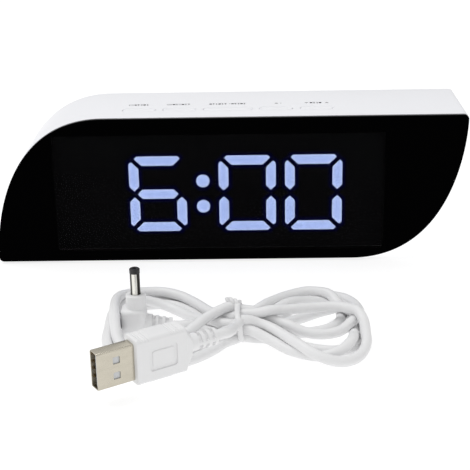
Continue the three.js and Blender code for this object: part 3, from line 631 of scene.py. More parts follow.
def glow_film(name):
    """The deep blue that spreads round a lit segment, fading outwards."""
    made = Finish(name, (0.001, 0.001, 0.002, 1), Emission_Strength=1.7, Specular_IOR_Level=0.0)
    core = made.node("Attribute", {"attribute_name": "core"}, output="Fac")
    faded, deep_blue = (0.0, 0.0, 0.002, 1), (0.0008, 0.0012, 0.055, 1)
    return made.feed("Emission Color", made.blend(core, faded, deep_blue)).material


def dark_mask(name, colour=(0.0056, 0.0056, 0.006, 1)):
    """The display's dark face between and over the unlit segments."""
    made = Finish(name, colour, Specular_IOR_Level=0.05)
    return made.roughen(0.6, 0.05, 2).material


def printed_ink(name):
    """Grey pad-printed ink, slightly thin in places."""
    grey = (0.27, 0.27, 0.28, 1)
    made = Finish(name, grey, Specular_IOR_Level=0.2)
    made.mottle(grey, 0.6, 0.3)
    return made.roughen(0.6, 0.05, 1).material


def milky_plastic(name, colour=(0.62, 0.63, 0.64, 1)):
    """Plain white or milky inner plastic."""
    made = Finish(name, colour)
    made.mottle(colour, 4, 0.04)
    return made.roughen(0.5, 0.06, 2).material


# ------------------------------------------------------------------------------- camera
CAMERA = {"lens": 90.15, "stand": (10.22, -439.16, 171.46), "pitch": 20.98, "yaw": -1.11, "roll": 1.07}


def stood(stand, right, up, back):
    """The matrix of an object that stands at a place in metres, with its own axes turned to these."""
    placed = np.eye(4)
    placed[:3] = np.stack([right, up, back, stand], axis=1)
    return Matrix(placed.tolist())


class CLOCK_OT_camera(bpy.types.Operator):
    """Sets up the camera in front of the clock, looking slightly down"""

    bl_idname = "clock.camera"
    bl_label = "Camera"

    def execute(self, context):
        data = bpy.data.cameras.new("camera")
        data.sensor_width = 36
        data.lens = CAMERA["lens"]
        camera = bpy.data.objects.new("camera", data)
        context.scene.collection.objects.link(camera)
        pitch, yaw, roll = (math.radians(CAMERA[name]) for name in ("pitch", "yaw", "roll"))
        forward = np.array([
            math.sin(yaw) * math.cos(pitch), math.cos(yaw) * math.cos(pitch), -math.sin(pitch),
        ])
        flat_right = np.array([math.cos(yaw), -math.sin(yaw), 0])
        flat_up = np.cross(flat_right, forward)
        right = math.cos(roll) * flat_right - math.sin(roll) * flat_up
        up = np.cross(right, forward)
        camera.matrix_world = stood(np.array(CAMERA["stand"]) * MM, right, up, -forward)
        data.clip_start = 0.01
        context.scene.camera = camera
        return {"FINISHED"}


# ------------------------------------------------------------------------------- power lead
DC_PLUG = middle("dc_plug_barrel")[:2]
DC_ARM_END = span("dc_plug_body")[1][0]
DC_ARM_RISE = 3.1
DC_ARM_RADII = (3.9, 2.8)
DC_NECK_TOP = span("dc_plug_body")[1][2]
DC_ELBOW_HALF = 4.2
DC_ELBOW_TOP = 10.2
DC_ELBOW = np.array([span("dc_plug_body")[0][0] + DC_ELBOW_HALF, DC_PLUG[1]])
USB_YAW = math.radians(33)
USB_TIP = np.array([-38.0, -131.0])
USB_LIFT = span("usb_plug_body")[0][2]
USB_GRIP = {"length": 17, "thickness": 8, "width": 15, "front": -12.3}
USB_MIDDLE = USB_LIFT + USB_GRIP["width"] / 2
USB_SHOULDER = 3
USB_RELIEF_END = -41.5
USB_RELIEF_DIAMETER = 5.6
HANK = {"centre": np.array([5.2, -86.0]), "half_depth": 31, "left": -40.2, "right": 47.0}
TIE_HALF = 7

# The cord's straight stretches: from the small plug, and from the big one, to the hank.
DC_LEAD = [[-17.7, -84, 3.1], [-16, -84, 3.1], [-14.3, -84, 3.2], [-12.6, -84, 3.4]]
USB_LEAD = [
    [-2.9, -108.2, 11.1], [-1.3, -107.1, 11], [0.3, -105.5, 10.6], [1.4, -103.4, 10],
    [2.0, -101.0, 9.4], [2.3, -98.6, 8.8], [2.5, -96.4, 8.2],
]
# The hank's lobes in the order they were wound: side, reach, and its two half-depths.
LOBES = [
    (1, 41.0, 30, 16), (-1, 40.5, 27, 28), (1, 38.0, 24, 22), (-1, 40.5, 23, 25), (1, 34.5, 27, 0),
    (-1, 41.0, 29, 23), (1, 37.0, 15, 9), (-1, 40.5, 25, 29), (1, 41.5, 9, 25),
]
# Where each pass goes through the tie: rows of places, and the order in which they were filled.
TIE_ROWS = [(2.4, (-5.2, -1.75, 1.75, 5.2)), (5.2, (-3.5, 0, 3.5)), (7.9, (-3.5, 0, 3.5))]
TIE_ORDER = (2, 1, 3, 0, 6, 5, 4, 9, 8, 7)
CORD_STEP = 2.6
# How the cord settles: rounds, and in each the drop, the pull towards the wound shape while that lasts,
# the share of each step's error in length that is put right, and the push between touching stretches.
ROUNDS = 420
DROP = 0.04
MEMORY, MEMORY_LASTS = 0.01, 0.7
LENGTH_SHARE = 0.45
PUSH_SHARE, PUSH_REACH = 0.3, 1.03
# How strongly each round evens out the change of bend, over one step and over three.
BEND_EVENING = ((1, 0.9), (1, 0.9), (3, 0.5))
# The tie's opening widens away from the tie with the square of the distance, over this length.
FUNNEL_HALF, FUNNEL_RISE, OPEN = 7, 0.1, 99
TIE_FLOOR, TIE_CEILING = 0.6, 9.7


def wound_hank():
    """The cord before it settles. Lobe k is the curve x = reach * sin(t), y = half_depth * sin(2t)
    for t from 0 to pi, a little higher than the lobe before it. Near the tie it moves over to its
    own place in the tie's rows."""
    places = [(across_tie, height) for height, row in TIE_ROWS for across_tie in row]
    parts = [np.array(DC_LEAD)]
    t = np.linspace(0, math.pi, 60)[1:-1]
    outward = t < math.pi / 2
    for index, (side, reach, first, second) in enumerate(LOBES):
        x = side * reach * np.sin(t)
        y = side * np.where(outward, first, second) * np.sin(2 * t)
        near = np.clip(1 - np.abs(x) / 20, 0, 1) ** 1.3
        start, end = places[TIE_ORDER[index]], places[TIE_ORDER[index + 1]]
        tie_y = np.where(outward, start[0], end[0])
        tie_z = np.where(outward, start[1], end[1])
        height = 1.75 + 0.9 * index
        parts.append(np.stack([
            HANK["centre"][0] + x,
            HANK["centre"][1] + y * (1 - near) + tie_y * near,
            height * (1 - near) + tie_z * near,
        ], axis=1))
    parts.append(np.array(USB_LEAD)[::-1])
    return spaced(np.concatenate(parts), CORD_STEP)


def push_out(points, box, top, radius):
    """Moves points that are inside an upright box, grown by radius, out through its nearest side."""
    x0, x1, y0, y1 = box
    inside = (
        (points[:, 0] > x0 - radius) & (points[:, 0] < x1 + radius)
        & (points[:, 1] > y0 - radius) & (points[:, 1] < y1 + radius) & (points[:, 2] < top + radius)
    )
    inside[:6] = False
    depth = np.stack([
        points[inside, 0] - x0 + radius, x1 + radius - points[inside, 0],
        points[inside, 1] - y0 + radius, y1 + radius - points[inside, 1],
    ], axis=1)
    ways = np.array([[-1, 0, 0], [1, 0, 0], [0, -1, 0], [0, 1, 0]])
    nearest = depth.argmin(axis=1)
    points[inside] += ways[nearest] * depth.min(axis=1)[:, None]


def settled(points, diameter, rounds):
    """The cord at rest: in each round it drops a little, evens out its bends, gets back its length,
    moves apart where it lies in itself, and stays off the floor, the plugs and out of the tie."""
    radius = diameter / 2
    count = len(points)
    home = points.copy()
    held = np.zeros(count, bool)
    held[: len(DC_LEAD) - 1] = True
    held[-len(USB_LEAD) :] = True
    pitch = np.linalg.norm(np.diff(points, axis=0), axis=1).mean()
    first, second = np.triu_indices(count, 4)
    ahead = np.array([math.cos(USB_YAW), math.sin(USB_YAW)])
    aside = np.array([-ahead[1], ahead[0]])
    sides = np.array([-DC_ELBOW_HALF, DC_ELBOW_HALF])
    elbow = (*(DC_ELBOW[0] + sides), *(DC_ELBOW[1] + sides))
    arm = (DC_ELBOW[0] + 4, DC_ARM_END, DC_PLUG[1] - 3.2, DC_PLUG[1] + 3.2)
    for turn in range(rounds):
        if turn % 5 == 0:
            close = np.linalg.norm(points[first] - points[second], axis=1) < 1.6 * diameter
            near_a, near_b = first[close], second[close]
        points[:, 2] -= DROP
        if turn < MEMORY_LASTS * rounds:
            points += MEMORY * (home - points)
        for reach, share in BEND_EVENING:
            near = points[reach : -3 * reach] + points[3 * reach : -reach]
            far = points[: -4 * reach] + points[4 * reach :]
            change = 6 * points[2 * reach : -2 * reach] - 4 * near + far
            points[2 * reach : -2 * reach] -= share * change / 16
        for _ in range(4):
            step = np.diff(points, axis=0)
            length = np.linalg.norm(step, axis=1, keepdims=True)
            shift = LENGTH_SHARE * (length - pitch) / length * step
            points[:-1] += shift
            points[1:] -= shift
        for _ in range(3):
            apart = points[near_a] - points[near_b]
            length = np.linalg.norm(apart, axis=1, keepdims=True) + 1e-9
            shift = PUSH_SHARE * np.maximum(PUSH_REACH * diameter - length, 0) / length * apart
            np.add.at(points, near_a, shift)
            np.add.at(points, near_b, -shift)
        push_out(points, elbow, DC_NECK_TOP, radius)
        push_out(points, arm, 8, radius)
        from_tip = points[:, :2] - USB_TIP
        along, off = from_tip @ ahead, from_tip @ aside
        thickness = np.where(along < 33, USB_GRIP["thickness"], USB_RELIEF_DIAMETER)
        half = thickness / 2 + 0.2 + radius
        inside = (along > 0) & (along < 42) & (np.abs(off) < half) & (points[:, 2] > USB_LIFT - radius)
        inside[-len(USB_LEAD) - 1 :] = False
        under = inside & (points[:, 2] < USB_LIFT + 0.6 * radius)
        points[under, 2] = np.minimum(points[under, 2], USB_LIFT - radius)
        beside = inside & ~under & (along < 30)
        points[beside, :2] += (half - off)[beside][:, None] * aside
        from_tie = points[:, 0] - HANK["centre"][0]
        funnel = np.where(np.abs(from_tie) < FUNNEL_HALF, FUNNEL_RISE * from_tie**2, OPEN)
        wide = TIE_HALF - radius + funnel
        points[:, 1] = np.clip(points[:, 1], HANK["centre"][1] - wide, HANK["centre"][1] + wide)
        points[:, 2] = np.clip(points[:, 2], radius + TIE_FLOOR - funnel, TIE_CEILING - radius + funnel)
        points[:, 2] = np.maximum(points[:, 2], radius)
        points[:, 0] = np.clip(points[:, 0], HANK["left"] + radius, HANK["right"] - radius)
        deep = HANK["half_depth"] - radius
        points[:, 1] = np.clip(points[:, 1], HANK["centre"][1] - deep, HANK["centre"][1] + deep)
        points[held] = home[held]
    return points


class CLOCK_OT_cord(bpy.types.Operator):
    """Winds the power cord into its tied hank between the two plugs"""

    bl_idname = "clock.cord"
    bl_label = "Power cord"

    def execute(self, context):
        diameter = context.scene.clock_sizes.cord_diameter / MM
        line = smooth_line(settled(wound_hank(), diameter, ROUNDS), 3)
        start = np.array([[DC_ARM_END - 1.5, DC_PLUG[1], DC_ARM_RISE]])
        back = np.array([math.cos(USB_YAW), math.sin(USB_YAW)])
        last = np.array([[*(USB_TIP + (-USB_RELIEF_END - 1.5) * back), USB_MIDDLE]])
        line = np.concatenate([start, line, last])
        piece = solid("power_cord", tube(line, diameter, sides=18), smooth_angle=60)
        vinyl = soft_vinyl("cord_vinyl", context.scene.clock_colours.vinyl)
        stands_for = ("cord_hank", "cord_dc_lead", "cord_usb_lead")
        finish_piece(piece, "power_lead", "white_vinyl", vinyl, *stands_for)
        return {"FINISHED"}


NOTCH_EDGE = 0.12
NOTCH_HALF = 0.5
NOTCH_DEPTH = 0.9


def notched(grid, stations, notch_at, centre, around_mask):
    """Presses slots into a round stretch: near each notch the points come in towards the middle line
    by the notch's depth, where the mask round the section is 1."""
    nearest = np.abs(stations[:, None] - np.array(notch_at)[None]).min(axis=1)
    press = np.clip((NOTCH_HALF + NOTCH_EDGE - nearest) / NOTCH_EDGE, 0, 1)[:, None] * around_mask[None]
    out = grid - centre[:, None]
    size = np.linalg.norm(out, axis=2)
    return centre[:, None] + out * (1 - press * NOTCH_DEPTH / np.maximum(size, 1e-6))[..., None]


def fine_stations(start, end, notch_at, pitch=0.5):
    """Places from start to end, with pairs of close ones at each side of each notch."""
    reaches = (NOTCH_HALF, NOTCH_HALF + NOTCH_EDGE)
    sides = [at + way * reach for at in notch_at for way in (-1, 1) for reach in reaches]
    return np.unique(np.concatenate([np.arange(start, end, pitch), sides, [end]]))


class CLOCK_OT_dc_plug(bpy.types.Operator):
    """Builds the small angled plug: moulding, metal sleeve and black end"""

    bl_idname = "clock.dc_plug"
    bl_label = "Small plug"

    def execute(self, context):
        colours = context.scene.clock_colours
        x, y = DC_PLUG
        elbow_outline = rounded(2 * DC_ELBOW_HALF, 2 * DC_ELBOW_HALF, 2.6, DC_ELBOW, 8)
        elbow = carried(elbow_outline, slab_profile(0, DC_ELBOW_TOP, 1.0, 1.3), level)
        moulding = solid("dc_plug_moulding", elbow, smooth_angle=50)
        radius, rim, root = 3.35, 0.5, 6
        rim_turns = np.linspace(0.2, math.pi / 2, 5)
        neck_profile = [(1.9, root), (radius, root), (radius, DC_NECK_TOP - rim)]
        neck_profile += [
            (radius - rim * (1 - math.cos(a)), DC_NECK_TOP - rim * (1 - math.sin(a))) for a in rim_turns
        ]
        neck_profile += [(1.75, DC_NECK_TOP), (1.75, DC_NECK_TOP - 3)]
        neck = turned(neck_profile, DC_PLUG, level)
        notches = [DC_ARM_END - 1.6 - 2.2 * step for step in range(3)]
        stations = fine_stations(x, DC_ARM_END, notches)
        share = ((stations - x) / (DC_ARM_END - x))[:, None]
        radius = DC_ARM_RADII[0] + (DC_ARM_RADII[1] - DC_ARM_RADII[0]) * share
        turn = TAU * np.arange(48) / 48
        rise = DC_ARM_RISE + radius - DC_ARM_RADII[1]
        arm = np.stack([
            np.broadcast_to(stations[:, None], (len(stations), 48)),
            y + radius * np.cos(turn),
            rise + radius * np.sin(turn),
        ], axis=2)
        spine = np.stack([stations, np.full(len(stations), y), rise[:, 0]], axis=1)
        upper_and_lower = (np.abs(np.sin(turn)) > 0.28) & (np.abs(np.cos(turn)) > 0.12)
        arm = notched(arm, stations, notches, spine, upper_and_lower.astype(float))
        combine(moulding, [solid("neck", neck), solid("arm", arm)], "UNION", smooth_angle=40)
        vinyl = soft_vinyl("plug_vinyl", colours.vinyl)
        finish_piece(moulding, "power_lead", "white_vinyl", vinyl, "dc_plug_body")

        tip_top = span("dc_plug_tip")[1][2]
        sleeve_top = tip_top - 1.6
        sleeve = turned(
            [(1.3, DC_NECK_TOP - 2), (1.65, DC_NECK_TOP - 2), (1.65, sleeve_top), (1.3, sleeve_top)],
            DC_PLUG, level, 40,
        )
        # The sleeve's base colour holds painted reflection bands.
        metal = chrome_painted_reflection("sleeve_painted_reflection", DC_PLUG)
        finish_piece(
            solid("dc_plug_sleeve", sleeve, closed=True), "power_lead", "nickel", metal, "dc_plug_barrel",
        )
        end = turned(
            [(1.25, sleeve_top - 4), (1.25, sleeve_top + 0.02), (1.75, sleeve_top + 0.02),
             (1.75, tip_top - 0.25), (1.5, tip_top), (0.9, tip_top), (0.68, tip_top - 0.3),
             (0.68, sleeve_top - 4)],
            DC_PLUG, level, 40,
        )
        black = dark_moulding("plug_end_black", (0.012, 0.012, 0.013, 1), 0.3)
        finish_piece(
            solid("dc_plug_end", end, closed=True), "power_lead", "black_plastic", black, "dc_plug_tip",
        )
        return {"FINISHED"}


def usb_placed(points):
    """Moves points from the big plug's own frame to the clock's. Its own X runs from the tip back to
    the cord as negative numbers, Y is its thickness, and Z its width about the middle line."""
    x, y, z = points[..., 0], points[..., 1], points[..., 2]
    cosine, sine = math.cos(USB_YAW), math.sin(USB_YAW)
    return np.stack([
        USB_TIP[0] - x * cosine + y * sine,
        USB_TIP[1] - x * sine - y * cosine,
        USB_MIDDLE + z,
    ], axis=-1)


class CLOCK_OT_usb_plug(bpy.types.Operator):
    """Builds the big plug: moulded grip, metal shell, tongue and contacts"""

    bl_idname = "clock.usb_plug"
    bl_label = "Big plug"

    def grip(self):
        """The grip and its strain relief: round-cornered sections along the plug, whose width,
        thickness and corner radius follow the plug from face to shoulder to relief."""
        front = USB_GRIP["front"]
        back = front - USB_GRIP["length"]
        relief = back - USB_SHOULDER
        knots = [USB_RELIEF_END, relief, relief + 0.4, back - 0.6, back, front - 0.8, front - 0.2, front]
        thick = [USB_RELIEF_DIAMETER, USB_RELIEF_DIAMETER, 6.0, 7.2, 8, 8, 7.6, 6.8]
        wide = [USB_RELIEF_DIAMETER, USB_RELIEF_DIAMETER, 8.4, 12.6, 15, 15, 14.6, 13.8]
        round_off = [2.79, 2.79, 2.6, 1.8, 1.4, 1.4, 1.2, 0.9]
        notches = [USB_RELIEF_END + 1.6 + 2.3 * step for step in range(3)]
        stations = fine_stations(USB_RELIEF_END, front, notches, 0.25)
        sizes = [np.interp(stations, knots, values) for values in (thick, wide, round_off)]
        grid = np.stack([
            across(rounded(w, h, r, steps=10)(), place)
            for place, w, h, r in zip(stations, *sizes)
        ])
        spine = np.stack([stations, 0 * stations, 0 * stations], axis=1)
        turn = np.arctan2(grid[0, :, 2], grid[0, :, 1])
        slots = (np.abs(np.sin(turn)) > 0.25) & (np.abs(np.cos(turn)) > 0.1)
        grid = notched(grid, stations, notches, spine, slots.astype(float))
        for low, high in ((front - 4.6, front - 1.2), (back + 0.8, back + 5.2)):
            band = (stations > low) & (stations < high)
            groove = 0.14 * (1 - np.cos(TAU * (stations - low) / 0.85)) * band
            narrow_edge = (np.abs(grid[len(grid) // 2, :, 2]) > 6.6).astype(float)
            grid[:, :, 2] -= np.sign(grid[:, :, 2]) * groove[:, None] * narrow_edge[None]
        return grid

    def plates(self, name, width, height, corner, profile):
        """A round-cornered plate on each face of the grip, with places in the profile over the face."""
        middle_x = USB_GRIP["front"] - USB_GRIP["length"] / 2 - 0.6
        outline = rounded(width, height, corner, (middle_x, 0))
        made = []
        for side in (-1, 1):
            rows = [(inset, side * (USB_GRIP["thickness"] / 2 + over)) for inset, over in profile]
            made.append(solid(name, usb_placed(carried(outline, rows, upright))))
        return made

    def execute(self, context):
        colours = context.scene.clock_colours
        moulding = solid("usb_plug_moulding", usb_placed(self.grip()), smooth_angle=38)
        panels = self.plates("panel", 9.4, 7.4, 1.0, [(0, -0.45), (0, -0.2), (-0.25, 0.6)])
        combine(moulding, panels, "DIFFERENCE", 38)
        ridges = self.plates("ridge", 7.4, 5.4, 0.7, [(0, -0.75), (0, -0.33), (0.2, -0.15)])
        combine(moulding, ridges, "UNION", 38)
        vinyl = soft_vinyl("grip_vinyl", colours.vinyl)
        finish_piece(moulding, "power_lead", "white_vinyl", vinyl, "usb_plug_body")

        sleeve = rounded(4.5, 12, 0.55, steps=5)
        profile = [(0, -12.25), (0, -0.25), (0.12, -0.02), (0.2, 0), (0.3, -0.12), (0.3, -12.25)]
        shell = solid("usb_plug_metal", usb_placed(carried(sleeve, profile, across)), closed=True)
        through = [(0, -4), (0, 4)]
        windows = [
            solid("window", usb_placed(carried(rounded(2.3, 2.3, 0.25, (-6.4, z)), through, upright)))
            for z in (-2.5, 2.5)
        ]
        combine(shell, windows, "DIFFERENCE")
        metal = plated_metal("shell_metal", colours.metal, (0.3, 0.3, 1), 0.25)
        finish_piece(shell, "power_lead", "nickel", metal, "usb_plug_shell")

        contacts = Shells()
        for z in (-3.5, -1.0, 1.0, 3.5):
            strip = rounded(8.2, 1.0, 0.2, (-5.2, z), 3)
            contacts.add(usb_placed(carried(strip, [(0, 0.06), (0, -0.12), (0.08, -0.16)], upright)))
        gold = plated_metal("contact_gold", (0.83, 0.6, 0.25, 1), (0.3, 0.3, 1), 0.2)
        finish_piece(contacts.mesh("usb_plug_contacts"), "power_lead", "nickel", gold)
        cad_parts["usb_plug_tongue"].active_material = milky_plastic("tongue_white")
        return {"FINISHED"}


# Two directions square to the way the tie's twisted ends lean.
TWIST_AXES = np.array([[0.1, 0.35, 0.93], [0.33, 0.93, -0.3]])


class CLOCK_OT_tie(bpy.types.Operator):
    """Wraps the twist tie round the hank's waist and twists its ends"""

    bl_idname = "clock.tie"
    bl_label = "Twist tie"

    def execute(self, context):
        thick = context.scene.clock_sizes.tie_diameter / MM
        x, y = HANK["centre"]
        low, high = thick / 2, 10.3
        turn = TAU * np.arange(64) / 64
        # The loop is an oval with squared corners: the sine and cosine keep their signs, and their
        # sizes are raised to a power under 1.
        squareness = 0.55
        aside = np.sign(np.cos(turn)) * np.abs(np.cos(turn)) ** squareness
        upwards = np.sign(np.sin(turn)) * np.abs(np.sin(turn)) ** squareness
        loop = np.stack([
            x - 0.9 * np.sin(turn) - 0.6,
            y + (TIE_HALF + 1.0) * aside,
            (low + high) / 2 + (high - low) / 2 * upwards,
        ], axis=1)
        along = np.roll(loop, -1, axis=0) - np.roll(loop, 1, axis=0)
        along /= np.linalg.norm(along, axis=1, keepdims=True)
        first = np.cross(along, (1, 0, 0))
        first /= np.linalg.norm(first, axis=1, keepdims=True)
        second = np.cross(first, along)
        ring = TAU * np.arange(14) / 14
        through = 0.75 * np.cos(ring)[None, :, None] * first[:, None]
        over = 1.25 * np.sin(ring)[None, :, None] * second[:, None]
        band = loop[:, None] + thick / 2 * (through + over)
        shells = Shells().add(band, closed=True)
        t = np.linspace(0, 1, 70)[:, None]
        start = np.array([x - 0.7, y + 3.2, high + 0.2])
        lean = np.array([-4.4, 1.6, 0.7])
        for phase in (0, math.pi):
            # Each end winds round the lean in 1.4 turns, and spreads over its last fifth.
            wind = TAU * 1.4 * t + phase
            spread = 0.62 + 0.5 * np.clip(t - 0.8, 0, 1)
            around = np.cos(wind) * TWIST_AXES[0] + np.sin(wind) * TWIST_AXES[1]
            spiral = start + lean * t + spread * around
            shells.add(tube(spiral, 0.85 * thick, (0.2, 0.9, 0.4), 12))
        piece = shells.mesh("wire_tie", 60)
        vinyl = soft_vinyl("tie_vinyl", context.scene.clock_colours.vinyl)
        finish_piece(piece, "power_lead", "white_vinyl", vinyl, "twist_tie")
        return {"FINISHED"}


# ------------------------------------------------------------------------------- the clock's front
BUTTONS = [f"button_{index}" for index in range(1, 6)]
SHELL_WALL = 2.0


CAP_LIP = 0.8


def button_outline(node, grow=0):
    """The pill outline of a button's cap as seen from above: its frame box without the hidden lip."""
    low, high = span(node)
    width, depth = (high - low)[:2] - 2 * CAP_LIP + 2 * grow
    return rounded(width, depth, depth / 2, (low + high)[:2] / 2, 10)


class CLOCK_OT_housing(bpy.types.Operator):
    """Builds the white leaf-shaped housing with its round edges and button slots"""

    bl_idname = "clock.housing"
    bl_label = "Housing"

    def execute(self, context):
        sizes = context.scene.clock_sizes
        low, high = span("main_housing")
        front, rear, top = low[1], high[1], high[2]
        soft = sizes.shell_round / MM
        inner = 0.25
        profile = (
            edge(soft, 0, front, 1) + edge(soft, 0, rear, -1)[::-1]
            + [(SHELL_WALL - inner, rear), (SHELL_WALL, rear - inner), (SHELL_WALL, front + 0.05),
               (SHELL_WALL - 0.05, front)]
        )
        shell = solid("housing_shell", carried(leaf, profile, upright), closed=True, smooth_angle=30)
        bezel = solid("bezel", carried(leaf, [(1, front), (1, front + 1.8)], upright))
        filter_low, filter_high = span("display_filter")
        width, height = (filter_high - filter_low)[[0, 2]] + 0.5
        window = rounded(width, height, 0.3, middle("display_filter")[[0, 2]], 3)
        opening = solid("opening", carried(window, [(0, front - 1), (0, front + 4)], upright))
        combine(bezel, [opening], "DIFFERENCE")
        combine(shell, [bezel], "UNION", 30)
        gap = sizes.part_gap / MM
        slot_profile = [
            (0, top - SHELL_WALL - 1), (0, top - 0.22), (-0.06, top - 0.1), (-0.22, top), (-0.22, top + 1),
        ]
        slots = [
            solid("slot", carried(button_outline(node, gap), slot_profile, level)) for node in BUTTONS
        ]
        combine(shell, slots, "DIFFERENCE", 30)
        white = moulded_white("shell_white", context.scene.clock_colours.shell)
        finish_piece(shell, "housing", "white_shell", white, "main_housing")
        return {"FINISHED"}


class CLOCK_OT_lens(bpy.types.Operator):
    """Builds the dark front lens with its polished edge"""

    bl_idname = "clock.lens"
    bl_label = "Front lens"

    def execute(self, context):
        low, high = span("front_lens")
        inset = 0.12
        soft = context.scene.clock_sizes.lens_round / MM
        profile = [
            (inset + soft, low[1]), (inset + 0.4 * soft, low[1] + 0.15 * soft),
            (inset + 0.1 * soft, low[1] + 0.5 * soft), (inset, low[1] + soft),
            (inset, high[1] - 0.05), (inset + 0.05, high[1]),
        ]
        lens = solid("lens_glass", carried(leaf, profile, upright), smooth_angle=60)
        glass = dark_glass("lens_black", context.scene.clock_colours.lens)
        finish_piece(lens, "housing", "black_lens", glass, "front_lens")
        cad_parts["display_filter"].active_material = smoked_film("filter_smoke")
        return {"FINISHED"}


DIGIT = {"width": 21.5, "height": 29.9, "stroke": 3.65, "half_gap": 1.24, "chamfer": 0.95}
DIGIT_PLACES = (-51.8, -26.8, 7.05, 32.05)
COLON_X, COLON_DOT, COLON_HALF_PITCH = -9.7, 5, 5.05
DISPLAY_RISE = middle("display_reflector")[2]
# Segment order: top, upper left, upper right, middle, lower left, lower right, bottom.
LIT = ("", "013456", "012456", "012456")


def segment_shapes():
    """The seven segments of a digit, each a six-cornered outline about the digit's middle. The outer
    corners are cut at 45 degrees and neighbours are two half-gaps apart."""
    w, h = DIGIT["width"] / 2, DIGIT["height"] / 2
    s, g, c = DIGIT["stroke"], DIGIT["half_gap"], DIGIT["chamfer"]
    top = np.array([
        [-w + g + c, h - c], [-w + g + 2 * c, h], [w - g - 2 * c, h],
        [w - g - c, h - c], [w - g - s, h - s], [-w + g + s, h - s],
    ])
    side = np.array([
        [-w, h - g - 2 * c], [-w + c, h - g - c], [-w + s, h - g - s],
        [-w + s, g + s / 2], [-w + s / 2, g], [-w, g + s / 2],
    ])
    half_bar = np.array([[w - s - g, s / 2], [w - s / 2 - g, 0], [w - s - g, -s / 2]])
    bar = np.concatenate([half_bar, -half_bar])
    flip_x, flip_z = np.array([-1, 1]), np.array([1, -1])
    return [top, side, side * flip_x, bar, side * flip_z, side * flip_x * flip_z, top * flip_z]


def segment_grid(shape, centre, steps, front):
    """Rows of one segment: its outline at the back, the same at the front, then drawn in or out along
    each axis by the steps. The rows' marks go from 0 at the rim to 1 at the last."""
    core = shape.mean(axis=0)
    reach = np.abs(shape - core).max(axis=0)
    return np.stack([
        upright(centre + core + (shape - core) * (1 + step / reach), front + depth)
        for step, depth in steps
    ])


class CLOCK_OT_display(bpy.types.Operator):
    """Builds the display behind the lens: dark face, glow and lit and unlit segments, reading 6:00"""

    bl_idname = "clock.display"
    bl_label = "Display"

    def execute(self, context):
        depth = span("segment_diffuser")[0][1]
        face, back = depth + 0.06, depth + 0.6
        low, high = span("display_filter")
        outline = rounded(high[0] - low[0], high[2] - low[2], 0.5, ((low + high) / 2)[[0, 2]])
        mask_profile = [(0, back), (0, face + 0.1), (0.1, face)]
        mask = solid("display_mask", carried(outline, mask_profile, upright))
        lit, unlit, glow = Shells(), Shells(), Shells()
        spread = context.scene.clock_sizes.glow_width / MM
        lit_steps = [(0, 0.5), (0, 0.03), (-0.12, 0), (-0.45, 0), (-0.9, 0), (-1.5, 0)]
        lit_marks = np.array([0, 0, 0.1, 0.45, 0.85, 1])
        unlit_steps = [(0, 0.5), (0, 0.02), (-0.1, 0)]
        halo_steps = [(spread, 0.4), (spread, 0), (0.66 * spread, 0), (0.33 * spread, 0), (0, 0)]
        halo_marks = np.array([0, 0, 0.4, 0.8, 1])
        circle = disc(1, sides=36)() * COLON_DOT
        pieces = [
            (shape, np.array([x, DISPLAY_RISE]), str(index) in lights)
            for x, lights in zip(DIGIT_PLACES, LIT)
            for index, shape in enumerate(segment_shapes())
        ]
        pieces += [
            (circle, np.array([COLON_X, DISPLAY_RISE + way * COLON_HALF_PITCH]), True) for way in (-1, 1)
        ]
        for index, (shape, centre, is_lit) in enumerate(pieces):
            if not is_lit:
                unlit.add(segment_grid(shape, centre, unlit_steps, face - 0.05))
                continue
            lit.add(segment_grid(shape, centre, lit_steps, face - 0.1), marks=lit_marks)
            # Each halo lies a hair behind the one before it, because neighbours overlap.
            halo_face = face - 0.04 + 0.0008 * index
            glow.add(segment_grid(shape, centre, halo_steps, halo_face), marks=halo_marks)
        light = lit_plastic("segment_light", context.scene.clock_colours.light)
        halo = glow_film("glow_blue")
        grey = dark_mask("unlit_grey", (0.0064, 0.0064, 0.007, 1))
        finish_piece(mask, "housing", "black_plastic", dark_mask("mask_black"), "segment_diffuser")
        finish_piece(lit.mesh("lit_segments", mark_name="core"), "housing", "milky_plastic", light)
        finish_piece(glow.mesh("segment_glow", mark_name="core"), "housing", "milky_plastic", halo)
        finish_piece(unlit.mesh("unlit_segments"), "housing", "milky_plastic", grey)
        return {"FINISHED"}


class CLOCK_OT_buttons(bpy.types.Operator):
    """Builds the five button caps, each with its hidden lip and stem"""

    bl_idname = "clock.buttons"
    bl_label = "Buttons"

    def execute(self, context):
        soft = context.scene.clock_sizes.cap_round / MM
        white = moulded_white("button_white", context.scene.clock_colours.shell)
        for index, node in enumerate(BUTTONS):
            low, high = span(node)
            top, lip_top = high[2], high[2] - SHELL_WALL - 0.1
            profile = (
                [(-CAP_LIP, lip_top - CAP_LIP), (-CAP_LIP, lip_top), (0, lip_top)]
                + edge(soft, 0, top, -1)[::-1]
                + [(1.2, top + 0.02)]
            )
            cap = Shells().add(carried(button_outline(node, -0.01), profile, level))
            stem = turned([(1.5, low[2]), (1.5, lip_top - CAP_LIP)], ((low + high) / 2)[:2], level, 32)
            cap.add(stem)
            piece = cap.mesh(f"button_cap_{index + 1}", 40)
            finish_piece(piece, node, "white_shell", white, node)
        return {"FINISHED"}


